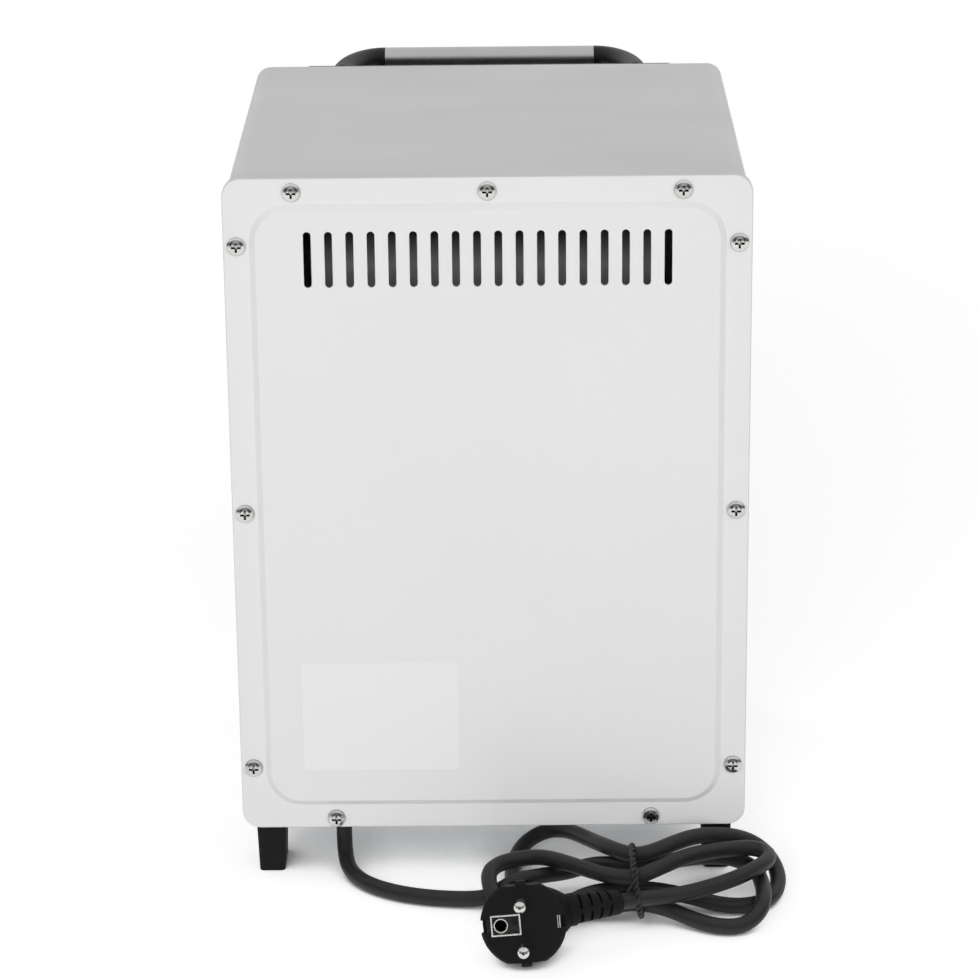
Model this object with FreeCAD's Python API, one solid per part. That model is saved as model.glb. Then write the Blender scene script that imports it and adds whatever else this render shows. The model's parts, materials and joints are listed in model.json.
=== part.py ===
import FreeCAD, Part
import math
import os

# Infrared sterilizer. Lengths are in millimetres, +Z is up and the door faces -Y.
V = FreeCAD.Vector
X_AXIS = V(1, 0, 0)
Y_AXIS = V(0, 1, 0)
Z_AXIS = V(0, 0, 1)
PAST = 5.0              # how far a cutting tool runs past the face it cuts

# Case of folded steel sheet
CASE_W = 219.0          # over the side walls of the wrap
CASE_D = 213.0          # front edge of the wrap to the rear panel's rim
CASE_H = 293.2          # bottom plate's underside to the top of the wrap
SHEET = 1.0
CASE_BEND = 7.0         # outside radius of the wrap's two top bends
REAR_FLANGE = 12.0      # turned in at the back, where the rear screws bite
FRONT_LIP = 8.0         # turned in at the front, over the front panel's edge
FIT = 0.3               # room round a piece that drops into another
RUN_FIT = 0.1           # room round a shaft or pin that turns

# Rear panel: a shallow pressed tray over the case's back end
PANEL_FIT = 0.5
PANEL_SKIRT = 4.5
PANEL_CORNER = 8.0
PANEL_FOLD = 0.8
FIELD_RISE = 1.6        # the pressed field stands this proud of the rim
FIELD_SLOPE = 2.5
FIELD_SIDE = 11.0       # rim left bare at each side
FIELD_END = 11.1        # rim left bare at top and bottom
FIELD_CORNER = 16.0
SLOT_COUNT = 18
SLOT_PITCH = 8.9
SLOT_W = 3.3
SLOT_L = 24.3
SLOT_DROP = 34.8        # panel's top edge to the middle of the slots

# Pan-head screws
SCREW_D = 3.9
SCREW_HOLE = 4.4
SCREW_HEAD_D = 8.0
SCREW_HEAD_H = 2.4
SCREW_L = 7.0
RIM_SCREW_SIDE = 5.6    # panel's side edge to a screw's middle
RIM_SCREW_TOP = 6.0
RIM_SCREW_BOTTOM = 4.6
RIM_SCREW_END = 29.1    # panel's end to the first screw up a side
RIM_SCREW_UPPER = 29.2  # panel's side edge to the outer screws along the top
RIM_SCREW_LOWER = 41.5

# Feet
FOOT_H = 25.0
FOOT_W = 13.0
FOOT_L = 24.0
FOOT_TAPER = 0.8        # taken off each side by the time it meets the table
FOOT_SIDE = 10.5        # wrap's side to the foot's middle
FOOT_INSET = 5.0        # case's end to the foot's end
FOOT_BORE = 9.2
FOOT_SEAT = 8.0         # left above the screw head's bore
FOOT_SCREW_L = 14.0

# Vents through the bottom plate
VENT_W = 4.0
VENT_L = 46.0
VENT_PITCH = 12.0
VENT_COLUMNS = 11
VENT_FRONT = 56.45      # front panel to the middles of the two rows
VENT_REAR = 116.45

# Chamber
CHAMBER_SIDE = 35.5     # wrap's side to the chamber's wall
CHAMBER_ROOF = 24.2     # chamber's roof up to the top of the wrap
CHAMBER_D = 161.0
CHAMBER_RISE = 103.0    # bottom plate's underside to the chamber's floor
CHAMBER_CORNER = 6.0
LINER_FLANGE = 5.0
LEDGE_DEPTH = 6.0
LEDGE_NOSE = 3.0
LEDGE_SETBACK = 8.0
RACK_LEDGE = 42.0       # chamber floor to the ledge's top
TRAY_LEDGE_DROP = 66.0  # chamber roof down to the ledge's top
BLANKET = 10.0          # thickness of the ceramic wool
SEAL_W = 4.0

# Quartz heaters
HEATER_D = 10.0
HEATER_WALL = 1.0
HEATER_GAP = 0.6        # between the coil and the quartz
HEATER_INSET = 14.0     # chamber's floor or roof to a heater's middle
HEATER_FRONT = 45.0     # chamber's mouth to the heaters' middles
HEATER_REAR = 118.0
CAP_NECK_D = 12.0
CAP_FLANGE_D = 20.0
CAP_BODY_D = 15.0
CAP_L = 15.0
CAP_SOCKET = 11.0

# Rack and tray
RACK_WIRE = 3.0
RACK_ROD = 2.0
RACK_RODS = 13
RACK_L = 140.0
TRAY_RIM = 5.0
TRAY_DEPTH = 14.0
TRAY_L = 140.0
TRAY_HOLE = 6.0
TRAY_ROWS = 5
TRAY_COLUMNS = 6
SHELF_PLAY = 1.2

# Door
DOOR_SIDE = 24.0        # wrap's side to the door's side
DOOR_LAP = 12.0         # how far the door hangs below the chamber's floor
DOOR_T = 16.0
DOOR_GAP = 2.0          # wrap's front edge to the door's back
DOOR_DROP = 3.2         # top of the case down to the top of the door
DOOR_EDGE = 3.0
DOOR_RIM = 3.0          # side walls and face of the door's frame
DOOR_RAIL = 17.0        # solid rail along the top
DOOR_SILL = 18.0        # solid rail along the bottom, round the hinge
GLASS_T = 4.0
STILE_W = 24.0          # door's side to the window
SASH_H = 15.0           # pocket's end to the window
WINDOW_CORNER = 6.0
WINDOW_STEP = 6.0       # how much wider the retainer's window is, each side
PIN_D = 5.0
PIN_IN_DOOR = 12.0
EAR_GAP = 0.5
EAR_T = 2.0
EAR_R = 7.0
HINGE_PLATE_W = 14.0
HINGE_SCREW_D = 3.0
HINGE_SCREW_HEAD_D = 5.6
HINGE_SCREW_HEAD_H = 1.7
HINGE_SCREW_L = 8.0

# Bar handle
BAR_D = 11.8
BAR_WALL = 1.0
BAR_VISIBLE = 101.2
BAR_SOCKET = 6.0
BAR_SPIGOT_D = 8.0
HANDLE_OUT = 36.6       # door's face to the middle of the bar
HANDLE_DROP = 6.2       # door's top to the middle of the bar
END_D = 11.8
END_SPREAD = 19.0       # how far each end swings out sideways
HANDLE_SCREW_DEEP = 10.0
HANDLE_SCREW_L = 17.0

# Magnet catch
CATCH_W = 30.0
CATCH_H = 9.0
CATCH_L = 12.0
CATCH_NOSE_W = 20.0
CATCH_NOSE_H = 6.0
STRIKE_W = 26.0
STRIKE_H = 8.0
STRIKE_T = 1.2
CATCH_DROP = 8.5        # door's top to the middle of the catch

# Controls under the door
CONTROL_X = 52.0
CONTROL_RISE = 45.0     # bottom plate's underside to the knobs' axes
THERMOSTAT_W = 34.0
THERMOSTAT_L = 24.0
TIMER_D = 42.0
TIMER_L = 26.0
BUSH_D = 9.6
BUSH_OUT = 5.0
NUT_FLATS = 14.0
NUT_T = 2.5
SHAFT_D = 6.0
SHAFT_IN = 12.0
SHAFT_FLAT = 1.2
KNOB_D = 38.0
KNOB_GRIP_D = 31.0
KNOB_H = 18.0
KNOB_OFF = 1.0          # air between the knob's skirt and the panel
KNOB_RECESS_D = 19.0
KNOB_RECESS = 7.0
KNOB_CAP = 3.0
KNOB_FLUTES = 12
FLUTE_D = 4.4
TAB_W = 6.3
TAB_T = 0.8
TAB_L = 8.0
LAMP_X = 0.0
LAMP_D = 9.6
LAMP_BEZEL_D = 13.0
LAMP_L = 18.0
LAMP_SPREAD = 12.0      # each lamp above or below the knobs' height

# Thermostat's sensing tube
CAPILLARY_D = 2.0
BULB_D = 6.0
BULB_L = 55.0
BULB_DROP = 32.0        # chamber's roof to the bulb
BULB_DEEP = 80.45       # chamber's mouth to the bulb's middle
CAPILLARY_SIDE = 13.5   # wrap's side to the capillary

# Terminal block on the bottom plate
TERMINAL_X = 39.0
TERMINAL_INSET = 51.55  # rear rim to the block's middle
TERMINAL_W = 34.0
TERMINAL_L = 18.0
TERMINAL_H = 14.0
TERMINAL_POLES = 3
WIRE_D = 2.2

# Mains cord, its gland and plug
CORD_D = 7.0
GLAND_X = 67.0
GLAND_INSET = 14.0      # rear rim to the gland's middle
GLAND_FLANGE_D = 15.0
GLAND_NECK_D = 11.2
GLAND_OUT = 2.5
GLAND_IN = 4.0
PLUG_D = 36.5
PLUG_DEPTH = 26.0
PLUG_EDGE = 1.2
PLUG_DISC_L = 10.0      # depth of the part that enters a socket
PLUG_WAIST_D = 34.8     # at the back of that part
PLUG_TILT = 17.9        # the back tapers by this angle, so the plug lies on its taper
PLUG_YAW = -2.6
PLUG_ROLL = 5.2
PLUG_X = -12.55
PLUG_Y = 225.67
PLUG_FLAT = 16.3        # axis to the flats above and below
PLUG_KEY_W = 4.3        # rib left standing in each flat
PLUG_NECK_DEEP = 15.0   # plug's face to the neck's axis
PLUG_NECK_OUT = 19.0
PLUG_NECK_LEAN = 5.6    # about the plug's axis
PLUG_NECK_BACK = 12.0   # away from the face
# The shroud from the body to the neck: distance out, half its depth, half its height
PLUG_SHROUD = [(2.0, 7.6, 14.0), (8.0, 7.8, 13.0), (12.0, 7.6, 11.6), (15.1, 7.2, 9.9), (19.0, 6.7, 6.9)]
PIN_PITCH = 19.0
PLUG_PIN_D = 4.8
PLUG_PIN_L = 19.0
EARTH_HOLE_D = 5.2
EARTH_HOLE_X = 9.5
EARTH_HOLE_L = 18.0
EARTH_TUBE = 0.4
EARTH_PLATE_L = 12.6    # across the plug, round the hole
EARTH_PLATE_H = 8.8
EARTH_PLATE_X = 7.4
EARTH_PLATE_DEEP = 1.4
EARTH_LIP = 0.6
CLIP_W = 5.4
CLIP_T = 1.1
CLIP_IN = 14.4          # axis to the clip's inner face
CLIP_L = 8.0
RELIEF_D = 13.2
RELIEF_TIP_D = 10.6
RELIEF_COLLAR = 2.6
RELIEF_SLITS = 4
RELIEF_SLIT_W = 1.2
RELIEF_WEB = 2.0
RELIEF_END = V(-52.5, 199.0, 16.6)
TIE_W = 3.0
TIE_T = 1.0
TIE_X = -61.5

# Places that follow from the sizes above
HANDLE_REACH = DOOR_GAP + DOOR_T + HANDLE_OUT + END_D / 2
REAR_Y = (CASE_D + HANDLE_REACH - SCREW_HEAD_H) / 2
FRONT_Y = REAR_Y - CASE_D
BASE_Z = FOOT_H
TOP_Z = BASE_Z + CASE_H
PANEL_GROW = PANEL_FIT + SHEET
PANEL_W = CASE_W + 2 * PANEL_GROW
PANEL_H = CASE_H + 2 * PANEL_GROW
PANEL_Z = BASE_Z + CASE_H / 2
FOOT_X = CASE_W / 2 - FOOT_SIDE
CAPILLARY_X = CASE_W / 2 - CAPILLARY_SIDE
TERMINAL_Y = REAR_Y - TERMINAL_INSET
FASCIA_Y = FRONT_Y + SHEET              # outer face of the front panel
CHAMBER_Y = FASCIA_Y + SHEET            # mouth of the chamber
CHAMBER_Z = BASE_Z + CHAMBER_RISE
CHAMBER_W = CASE_W - 2 * CHAMBER_SIDE
CHAMBER_H = CASE_H - CHAMBER_RISE - CHAMBER_ROOF
BULB_Y = CHAMBER_Y + BULB_DEEP
BULB_Z = CHAMBER_Z + CHAMBER_H - BULB_DROP
CHAMBER_TOP = CHAMBER_Z + CHAMBER_H
CHAMBER_MID = CHAMBER_Z + CHAMBER_H / 2
WALL_X = CHAMBER_W / 2
DOOR_BACK_Y = FRONT_Y - DOOR_GAP
DOOR_FACE_Y = DOOR_BACK_Y - DOOR_T
DOOR_TOP = TOP_Z - DOOR_DROP
DOOR_BOTTOM = CHAMBER_Z - DOOR_LAP
DOOR_H = DOOR_TOP - DOOR_BOTTOM
DOOR_W = CASE_W - 2 * DOOR_SIDE
POCKET_W = DOOR_W - 2 * DOOR_RIM
POCKET_H = DOOR_H - DOOR_RAIL - DOOR_SILL
POCKET_MID = DOOR_BOTTOM + DOOR_SILL + POCKET_H / 2
WINDOW_W = DOOR_W - 2 * STILE_W
WINDOW_H = POCKET_H - 2 * SASH_H
PIVOT_Y = DOOR_BACK_Y - DOOR_T / 2
PIVOT_Z = DOOR_BOTTOM + DOOR_T / 2
EAR_X = DOOR_W / 2 + EAR_GAP
BAR_Y = DOOR_FACE_Y - HANDLE_OUT
BAR_Z = DOOR_TOP - HANDLE_DROP
END_X = BAR_VISIBLE / 2 + END_SPREAD
CATCH_Z = DOOR_TOP - CATCH_DROP
CONTROL_Z = BASE_Z + CONTROL_RISE
KNOB_BACK_Y = FASCIA_Y - KNOB_OFF
GLAND_Y = REAR_Y - GLAND_INSET
GLAND_Z = BASE_Z - GLAND_OUT
FOOT_Y_REAR = REAR_Y - FOOT_INSET - FOOT_L / 2
FOOT_Y_FRONT = FRONT_Y + FOOT_INSET + FOOT_L / 2
RACK_Z = CHAMBER_Z + RACK_LEDGE
TRAY_Z = CHAMBER_TOP - TRAY_LEDGE_DROP
TILT = math.radians(PLUG_TILT)
PLUG_Z = PLUG_WAIST_D / 2 * math.cos(TILT) + PLUG_DISC_L * math.sin(TILT) + RUN_FIT
PLUG_TURN = FreeCAD.Rotation(Z_AXIS, PLUG_YAW).multiply(FreeCAD.Rotation(X_AXIS, PLUG_TILT))
PLUG_TURN = PLUG_TURN.multiply(FreeCAD.Rotation(Y_AXIS, PLUG_ROLL))
NECK_TURN = FreeCAD.Rotation(Y_AXIS, PLUG_NECK_LEAN).multiply(FreeCAD.Rotation(Z_AXIS, PLUG_NECK_BACK))
NECK_HEADING = PLUG_TURN.multVec(NECK_TURN.multVec(-X_AXIS))
RELIEF_START = V(PLUG_X, PLUG_Y, PLUG_Z) + PLUG_TURN.multVec(V(0, -PLUG_NECK_DEEP, 0)) + NECK_HEADING * PLUG_NECK_OUT
TAIL_HEADING = V(-63.8, 190.5, 14.45) - RELIEF_END
TAIL_HEADING = TAIL_HEADING * (1 / TAIL_HEADING.Length)
TAIL_L = 12.0           # from the relief's tip into the hank

# The cord's lead: out of the gland, down to the table and round to the hank
LEAD_ROUTE = [
    V(GLAND_X, GLAND_Y, GLAND_Z),
    V(GLAND_X, GLAND_Y, 14.6),
    V(66.5, 127.3, 7.6),
    V(65.0, 135.2, 4.4),
    V(61.3, 144.4, 3.7),
    V(53.6, 154.2, 3.7),
    V(42.2, 161.6, 3.7),
    V(28.6, 166.2, 3.7),
    V(13.5, 168.2, 3.7),
    V(2.0, 168.5, 4.6),
    V(-9.5, 166.5, 12.0),
]
# The tied hank, as ovals across it: x, near and far side in y, underside and top
HANK_OVALS = [
    (6.0, 155.0, 178.0, 2.0, 16.0),
    (-4.0, 128.0, 189.0, 0.6, 18.0),
    (-22.0, 106.5, 191.0, 0.6, 20.0),
    (-42.0, 131.0, 184.0, 1.4, 25.0),
    (TIE_X, 162.5, 191.0, 6.5, 31.0),
    (-82.0, 148.0, 196.5, 2.0, 29.0),
    (-102.0, 135.0, 199.0, 0.8, 25.0),
    (-118.0, 136.0, 190.0, 0.6, 19.0),
    (-128.0, 145.0, 172.0, 1.0, 11.0),
]


# Building blocks

def block(x0, x1, y0, y1, z0, z1):
    return Part.makeBox(x1 - x0, y1 - y0, z1 - z0, V(x0, y0, z0))


def rod(start, end, diameter):
    return Part.makeCylinder(diameter / 2, (end - start).Length, start, end - start)


def rounded_outline(width, height, corner, middle, up=Z_AXIS):
    # A rectangle with round corners: width along X, height along up.
    arcs = []
    for quarter, (side, rise) in enumerate([(1, 1), (-1, 1), (-1, -1), (1, -1)]):
        hub = middle + X_AXIS * (side * (width / 2 - corner)) + up * (rise * (height / 2 - corner))
        turns = [math.radians(90 * quarter + step) for step in (0, 45, 90)]
        arcs.append([hub + X_AXIS * (corner * math.cos(a)) + up * (corner * math.sin(a)) for a in turns])
    edges = []
    for quarter, arc in enumerate(arcs):
        edges.append(Part.Arc(*arc).toShape())
        following = arcs[(quarter + 1) % 4][0]
        if (following - arc[2]).Length > 0.001:
            edges.append(Part.LineSegment(arc[2], following).toShape())
    return Part.Wire(edges)


def standing_plate(width, height, corner, y0, y1, z_middle, x_middle=0.0):
    face = Part.Face(rounded_outline(width, height, corner, V(x_middle, y0, z_middle)))
    return face.extrude(V(0, y1 - y0, 0))


def level_plate(width, length, corner, z0, z1, y_middle, x_middle=0.0):
    face = Part.Face(rounded_outline(width, length, corner, V(x_middle, y_middle, z0), Y_AXIS))
    return face.extrude(V(0, 0, z1 - z0))


def arch_plate(width, top, bottom, corner, y0, y1):
    # An upright plate whose two top corners are round.
    x = width / 2
    bend = corner * (1 - math.sqrt(0.5))
    points = [V(-x, y0, bottom), V(-x, y0, top - corner), V(-x + bend, y0, top - bend), V(-x + corner, y0, top)]
    mirrored = [V(-p.x, p.y, p.z) for p in points]
    edges = [
        Part.LineSegment(points[0], points[1]).toShape(),
        Part.Arc(points[1], points[2], points[3]).toShape(),
        Part.LineSegment(points[3], mirrored[3]).toShape(),
        Part.Arc(mirrored[3], mirrored[2], mirrored[1]).toShape(),
        Part.LineSegment(mirrored[1], mirrored[0]).toShape(),
        Part.LineSegment(mirrored[0], points[0]).toShape(),
    ]
    return Part.Face(Part.Wire(edges)).extrude(V(0, y1 - y0, 0))


def prism_along_y(outline, y0, y1):
    corners = [V(x, y0, z) for x, z in outline]
    return Part.Face(Part.makePolygon(corners + corners[:1])).extrude(V(0, y1 - y0, 0))


def lathe(profile):
    # Turns (radius, height) corners about the Z axis.
    corners = [V(radius, 0, height) for radius, height in profile]
    return Part.Face(Part.makePolygon(corners + corners[:1])).revolve(V(0, 0, 0), Z_AXIS, 360)


def placed(shape, start, direction):
    moved = shape.copy()
    moved.Placement = FreeCAD.Placement(start, FreeCAD.Rotation(Z_AXIS, direction))
    return moved


def across(shape):
    # The same piece on the other side of the case.
    return shape.mirror(V(0, 0, 0), X_AXIS)


def spaced(count, pitch):
    # Places of a row of copies about the middle.
    return [pitch * (step - (count - 1) / 2) for step in range(count)]


def group(shapes):
    return Part.makeCompound(shapes)


def bent_path(name, points):
    # Straight runs joined by tangent arcs, each as large as its two runs allow.
    edges = []
    radii = []
    start = points[0]
    for before, corner, after in zip(points, points[1:], points[2:]):
        shorter = min((corner - before).Length, (after - corner).Length)
        half_turn = (corner - before).getAngle(after - corner) / 2
        trim = 0.45 * shorter
        radius = trim / math.tan(half_turn)
        heading_in = (corner - before) * (1 / (corner - before).Length)
        heading_out = (after - corner) * (1 / (after - corner).Length)
        inward = heading_out - heading_in
        inward = inward * (1 / inward.Length)
        bow = radius / math.cos(half_turn) - radius
        arc_start = corner - heading_in * trim
        arc_end = corner + heading_out * trim
        edges.append(Part.LineSegment(start, arc_start).toShape())
        edges.append(Part.Arc(arc_start, corner + inward * bow, arc_end).toShape())
        start = arc_end
        radii.append(round(radius, 1))
    edges.append(Part.LineSegment(start, points[-1]).toShape())
    print(name, "bend radii", radii)
    return Part.Wire(edges)


def tube_along(name, points, diameter):
    path = bent_path(name, points)
    mouth = Part.Wire([Part.makeCircle(diameter / 2, points[0], points[1] - points[0])])
    tube = path.makePipeShell([mouth], True, False)
    print(name, "length", round(path.Length, 1), "volume ratio",
          round(tube.Volume / (math.pi * diameter ** 2 / 4 * path.Length), 4))
    return tube


def pan_screw(seat, outward, length, diameter=SCREW_D, head_d=SCREW_HEAD_D, head_h=SCREW_HEAD_H):
    # seat is where the head bears, and outward points out of its top.
    point = diameter / 4
    profile = [
        (0, -length), (diameter / 2 - point, -length), (diameter / 2, -length + 2 * point),
        (diameter / 2, 0), (head_d / 2, 0), (head_d / 2, 0.35 * head_h),
        (0.42 * head_d, 0.72 * head_h), (0.26 * head_d, 0.94 * head_h), (0.12 * head_d, head_h), (0, head_h),
    ]
    arm = 0.26 * head_d
    slot = 0.06 * head_d
    floor = 0.35 * head_h
    cross = [block(-arm, arm, -slot, slot, floor, head_h + PAST),
             block(-slot, slot, -arm, arm, floor, head_h + PAST)]
    return placed(lathe(profile).cut(cross), seat, outward)


def drill(seat, outward, diameter, length):
    # A hole tool that goes in at the seat, opposite to outward.
    axis = outward * (1 / outward.Length)
    return rod(seat + axis * PAST, seat - axis * length, diameter)


# Case

def rim_screw_places():
    side = PANEL_W / 2 - RIM_SCREW_SIDE
    top = PANEL_Z + PANEL_H / 2 - RIM_SCREW_TOP
    bottom = PANEL_Z - PANEL_H / 2 + RIM_SCREW_BOTTOM
    upper = PANEL_W / 2 - RIM_SCREW_UPPER
    lower = PANEL_W / 2 - RIM_SCREW_LOWER
    reach = PANEL_H / 2 - RIM_SCREW_END
    places = [(x, top) for x in (-upper, 0, upper)]
    places += [(x, bottom) for x in (-lower, lower)]
    places += [(x, PANEL_Z + step * reach) for x in (-side, side) for step in (-1, 0, 1)]
    return [V(x, REAR_Y, z) for x, z in places]


def rim_screw_holes():
    return [drill(seat, Y_AXIS, SCREW_HOLE, SCREW_L) for seat in rim_screw_places()]


def pressed_field(y):
    width = PANEL_W - 2 * FIELD_SIDE
    height = PANEL_H - 2 * FIELD_END
    foot = rounded_outline(width, height, FIELD_CORNER, V(0, y, PANEL_Z))
    crown = rounded_outline(width - 2 * FIELD_SLOPE, height - 2 * FIELD_SLOPE, FIELD_CORNER - FIELD_SLOPE,
                            V(0, y + FIELD_RISE, PANEL_Z))
    return Part.makeLoft([foot, crown], True, True)


def vent_slots():
    first = -(SLOT_COUNT - 1) / 2 * SLOT_PITCH
    z = PANEL_Z + PANEL_H / 2 - SLOT_DROP
    return [standing_plate(SLOT_W, SLOT_L, SLOT_W / 2, REAR_Y - PAST, REAR_Y + PAST, z, first + i * SLOT_PITCH)
            for i in range(SLOT_COUNT)]


def rear_panel():
    tray = standing_plate(PANEL_W, PANEL_H, PANEL_CORNER, REAR_Y - PANEL_SKIRT, REAR_Y, PANEL_Z)
    fold = [edge for edge in tray.Edges if edge.BoundBox.YMin > REAR_Y - 0.01]
    tray = tray.makeFillet(PANEL_FOLD, fold)
    hollow = standing_plate(PANEL_W - 2 * SHEET, PANEL_H - 2 * SHEET, PANEL_CORNER - SHEET,
                            REAR_Y - PANEL_SKIRT - PAST, REAR_Y - SHEET, PANEL_Z)
    skin = tray.fuse(pressed_field(REAR_Y)).cut([hollow, pressed_field(REAR_Y - SHEET)])
    return skin.cut(vent_slots() + rim_screw_holes())


def end_trim():
    # What the rear panel's round lower corners leave no room for.
    y0 = REAR_Y - PANEL_SKIRT - FIT
    x = CASE_W / 2 + PAST
    end = block(-x, x, y0, REAR_Y, BASE_Z - PAST, TOP_Z + PAST)
    return end.cut(standing_plate(CASE_W, CASE_H, PANEL_CORNER - PANEL_GROW, y0 - PAST, REAR_Y + PAST, PANEL_Z))


def outer_wrap():
    back = REAR_Y - SHEET
    below = BASE_Z - PAST
    body = arch_plate(CASE_W, TOP_Z, BASE_Z, CASE_BEND, FRONT_Y, back)
    room = arch_plate(CASE_W - 2 * SHEET, TOP_Z - SHEET, below, CASE_BEND - SHEET, FRONT_Y + SHEET, back - SHEET)
    mouth = arch_plate(CASE_W - 2 * FRONT_LIP, TOP_Z - FRONT_LIP, below, CASE_BEND - SHEET,
                       FRONT_Y - PAST, FRONT_Y + SHEET)
    rear = arch_plate(CASE_W - 2 * REAR_FLANGE, TOP_Z - REAR_FLANGE, below, CASE_BEND - SHEET,
                      back - SHEET, back + PAST)
    inside = CASE_W / 2 - SHEET
    plate_room = block(-inside, inside, back - SHEET, back + PAST, below, BASE_Z + REAR_FLANGE + FIT)
    return body.cut([room, mouth, rear, plate_room, end_trim()] + rim_screw_holes())


def foot_places():
    return [V(x, y, BASE_Z) for x in (-FOOT_X, FOOT_X) for y in (FOOT_Y_FRONT, FOOT_Y_REAR)]


def bottom_plate():
    half = CASE_W / 2 - SHEET - FIT
    back = REAR_Y - SHEET
    plate = block(-half, half, CHAMBER_Y, back, BASE_Z, BASE_Z + REAR_FLANGE)
    hollow = block(-half + SHEET, half - SHEET, CHAMBER_Y + SHEET, back - SHEET, BASE_Z + SHEET, TOP_Z)
    rows = (FASCIA_Y + VENT_FRONT, FASCIA_Y + VENT_REAR)
    vents = [level_plate(VENT_W, VENT_L, 0.48 * VENT_W, BASE_Z - PAST, BASE_Z + PAST, y, x)
             for x in spaced(VENT_COLUMNS, VENT_PITCH) for y in rows]
    holes = [rod(foot - Z_AXIS * PAST, foot + Z_AXIS * PAST, SCREW_HOLE) for foot in foot_places()]
    gland = V(GLAND_X, GLAND_Y, BASE_Z)
    holes.append(rod(gland - Z_AXIS * PAST, gland + Z_AXIS * PAST, GLAND_NECK_D + 2 * RUN_FIT))
    return plate.cut([hollow, end_trim()] + vents + holes + rim_screw_holes())


def control_places():
    return [V(-CONTROL_X, FASCIA_Y, CONTROL_Z), V(CONTROL_X, FASCIA_Y, CONTROL_Z)]


def lamp_places():
    return [V(LAMP_X, FASCIA_Y, CONTROL_Z + LAMP_SPREAD), V(LAMP_X, FASCIA_Y, CONTROL_Z - LAMP_SPREAD)]


def hinge_screw_places():
    x = EAR_X + EAR_T / 2 + HINGE_PLATE_W / 2
    return [V(side * x, FASCIA_Y - EAR_T, PIVOT_Z + step * EAR_R * 0.75) for side in (-1, 1) for step in (-1, 1)]


def front_panel():
    panel = arch_plate(CASE_W - 2 * SHEET - 2 * FIT, TOP_Z - SHEET - FIT, BASE_Z, CASE_BEND - SHEET,
                       FASCIA_Y, CHAMBER_Y)
    mouth = standing_plate(CHAMBER_W, CHAMBER_H, CHAMBER_CORNER, FASCIA_Y - PAST, CHAMBER_Y + PAST, CHAMBER_MID)
    holes = [drill(spot, -Y_AXIS, BUSH_D + 2 * RUN_FIT, PAST) for spot in control_places()]
    holes += [drill(spot, -Y_AXIS, LAMP_D + 2 * RUN_FIT, PAST) for spot in lamp_places()]
    holes += [drill(spot, -Y_AXIS, HINGE_SCREW_D + 2 * RUN_FIT, 2 * PAST) for spot in hinge_screw_places()]
    window = standing_plate(CATCH_NOSE_W + 2 * FIT, CATCH_NOSE_H + 2 * FIT, 1.0, FASCIA_Y - PAST,
                            CHAMBER_Y + PAST, CATCH_Z)
    return panel.cut([mouth, window] + holes)


def foot(x, y):
    top = rounded_outline(FOOT_W, FOOT_L, 2.0, V(x, y, BASE_Z), Y_AXIS)
    sole = rounded_outline(FOOT_W - 2 * FOOT_TAPER, FOOT_L - 2 * FOOT_TAPER, 2.0, V(x, y, 0), Y_AXIS)
    middle = V(x, y, 0)
    bore = rod(middle - Z_AXIS * PAST, middle + Z_AXIS * (FOOT_H - FOOT_SEAT), FOOT_BORE)
    hole = rod(middle, middle + Z_AXIS * (FOOT_H + PAST), SCREW_HOLE)
    return Part.makeLoft([sole, top], True, True).cut([bore, hole])


def foot_screws():
    drop = Z_AXIS * FOOT_SEAT
    return group([pan_screw(place - drop, -Z_AXIS, FOOT_SCREW_L) for place in foot_places()])


def rear_screws():
    return group([pan_screw(seat, Y_AXIS, SCREW_L) for seat in rim_screw_places()])


# Chamber

def ledge(top, wall, grow):
    # A shelf pressed into the right wall. grow is the sheet's thickness on its hollow side.
    nose = wall - LEDGE_DEPTH
    knee = top - LEDGE_NOSE + grow * (math.sqrt(2) - 1)
    slope = PAST + LEDGE_DEPTH - grow
    y0 = CHAMBER_Y + LEDGE_SETBACK + grow
    y1 = CHAMBER_Y + CHAMBER_D - LEDGE_SETBACK - grow
    outline = [(nose + grow, top - grow), (nose + grow, knee), (nose + grow + slope, knee - slope),
               (nose + grow + slope, top - grow)]
    return prism_along_y(outline, y0, y1)


def ledges(grow):
    right = [ledge(RACK_Z, WALL_X, grow), ledge(TRAY_Z, WALL_X, grow)]
    return right + [across(shape) for shape in right]


def heater_places():
    heights = {"lower": CHAMBER_Z + HEATER_INSET, "upper": CHAMBER_TOP - HEATER_INSET}
    depths = {"front": CHAMBER_Y + HEATER_FRONT, "rear": CHAMBER_Y + HEATER_REAR}
    return {level + "_" + end: V(0, depths[end], heights[level]) for level in heights for end in depths}


def chamber_liner():
    back = CHAMBER_Y + CHAMBER_D
    room = standing_plate(CHAMBER_W, CHAMBER_H, CHAMBER_CORNER, CHAMBER_Y - PAST, back, CHAMBER_MID)
    room = room.cut(ledges(0.0))
    skin = standing_plate(CHAMBER_W + 2 * SHEET, CHAMBER_H + 2 * SHEET, CHAMBER_CORNER + SHEET,
                          CHAMBER_Y, back + SHEET, CHAMBER_MID)
    skin = skin.cut(ledges(SHEET))
    grow = 2 * (SHEET + LINER_FLANGE)
    flange = standing_plate(CHAMBER_W + grow, CHAMBER_H + grow, CHAMBER_CORNER + SHEET + LINER_FLANGE,
                            CHAMBER_Y, CHAMBER_Y + SHEET, CHAMBER_MID)
    side = X_AXIS * (WALL_X + PAST)
    holes = [rod(place - side, place + side, CAP_NECK_D + 2 * RUN_FIT) for place in heater_places().values()]
    probe = V(WALL_X, BULB_Y, BULB_Z)
    holes.append(rod(probe - X_AXIS * PAST, probe + X_AXIS * PAST, CAPILLARY_D + 2 * FIT))
    return skin.fuse(flange).cut([room] + holes)


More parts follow.
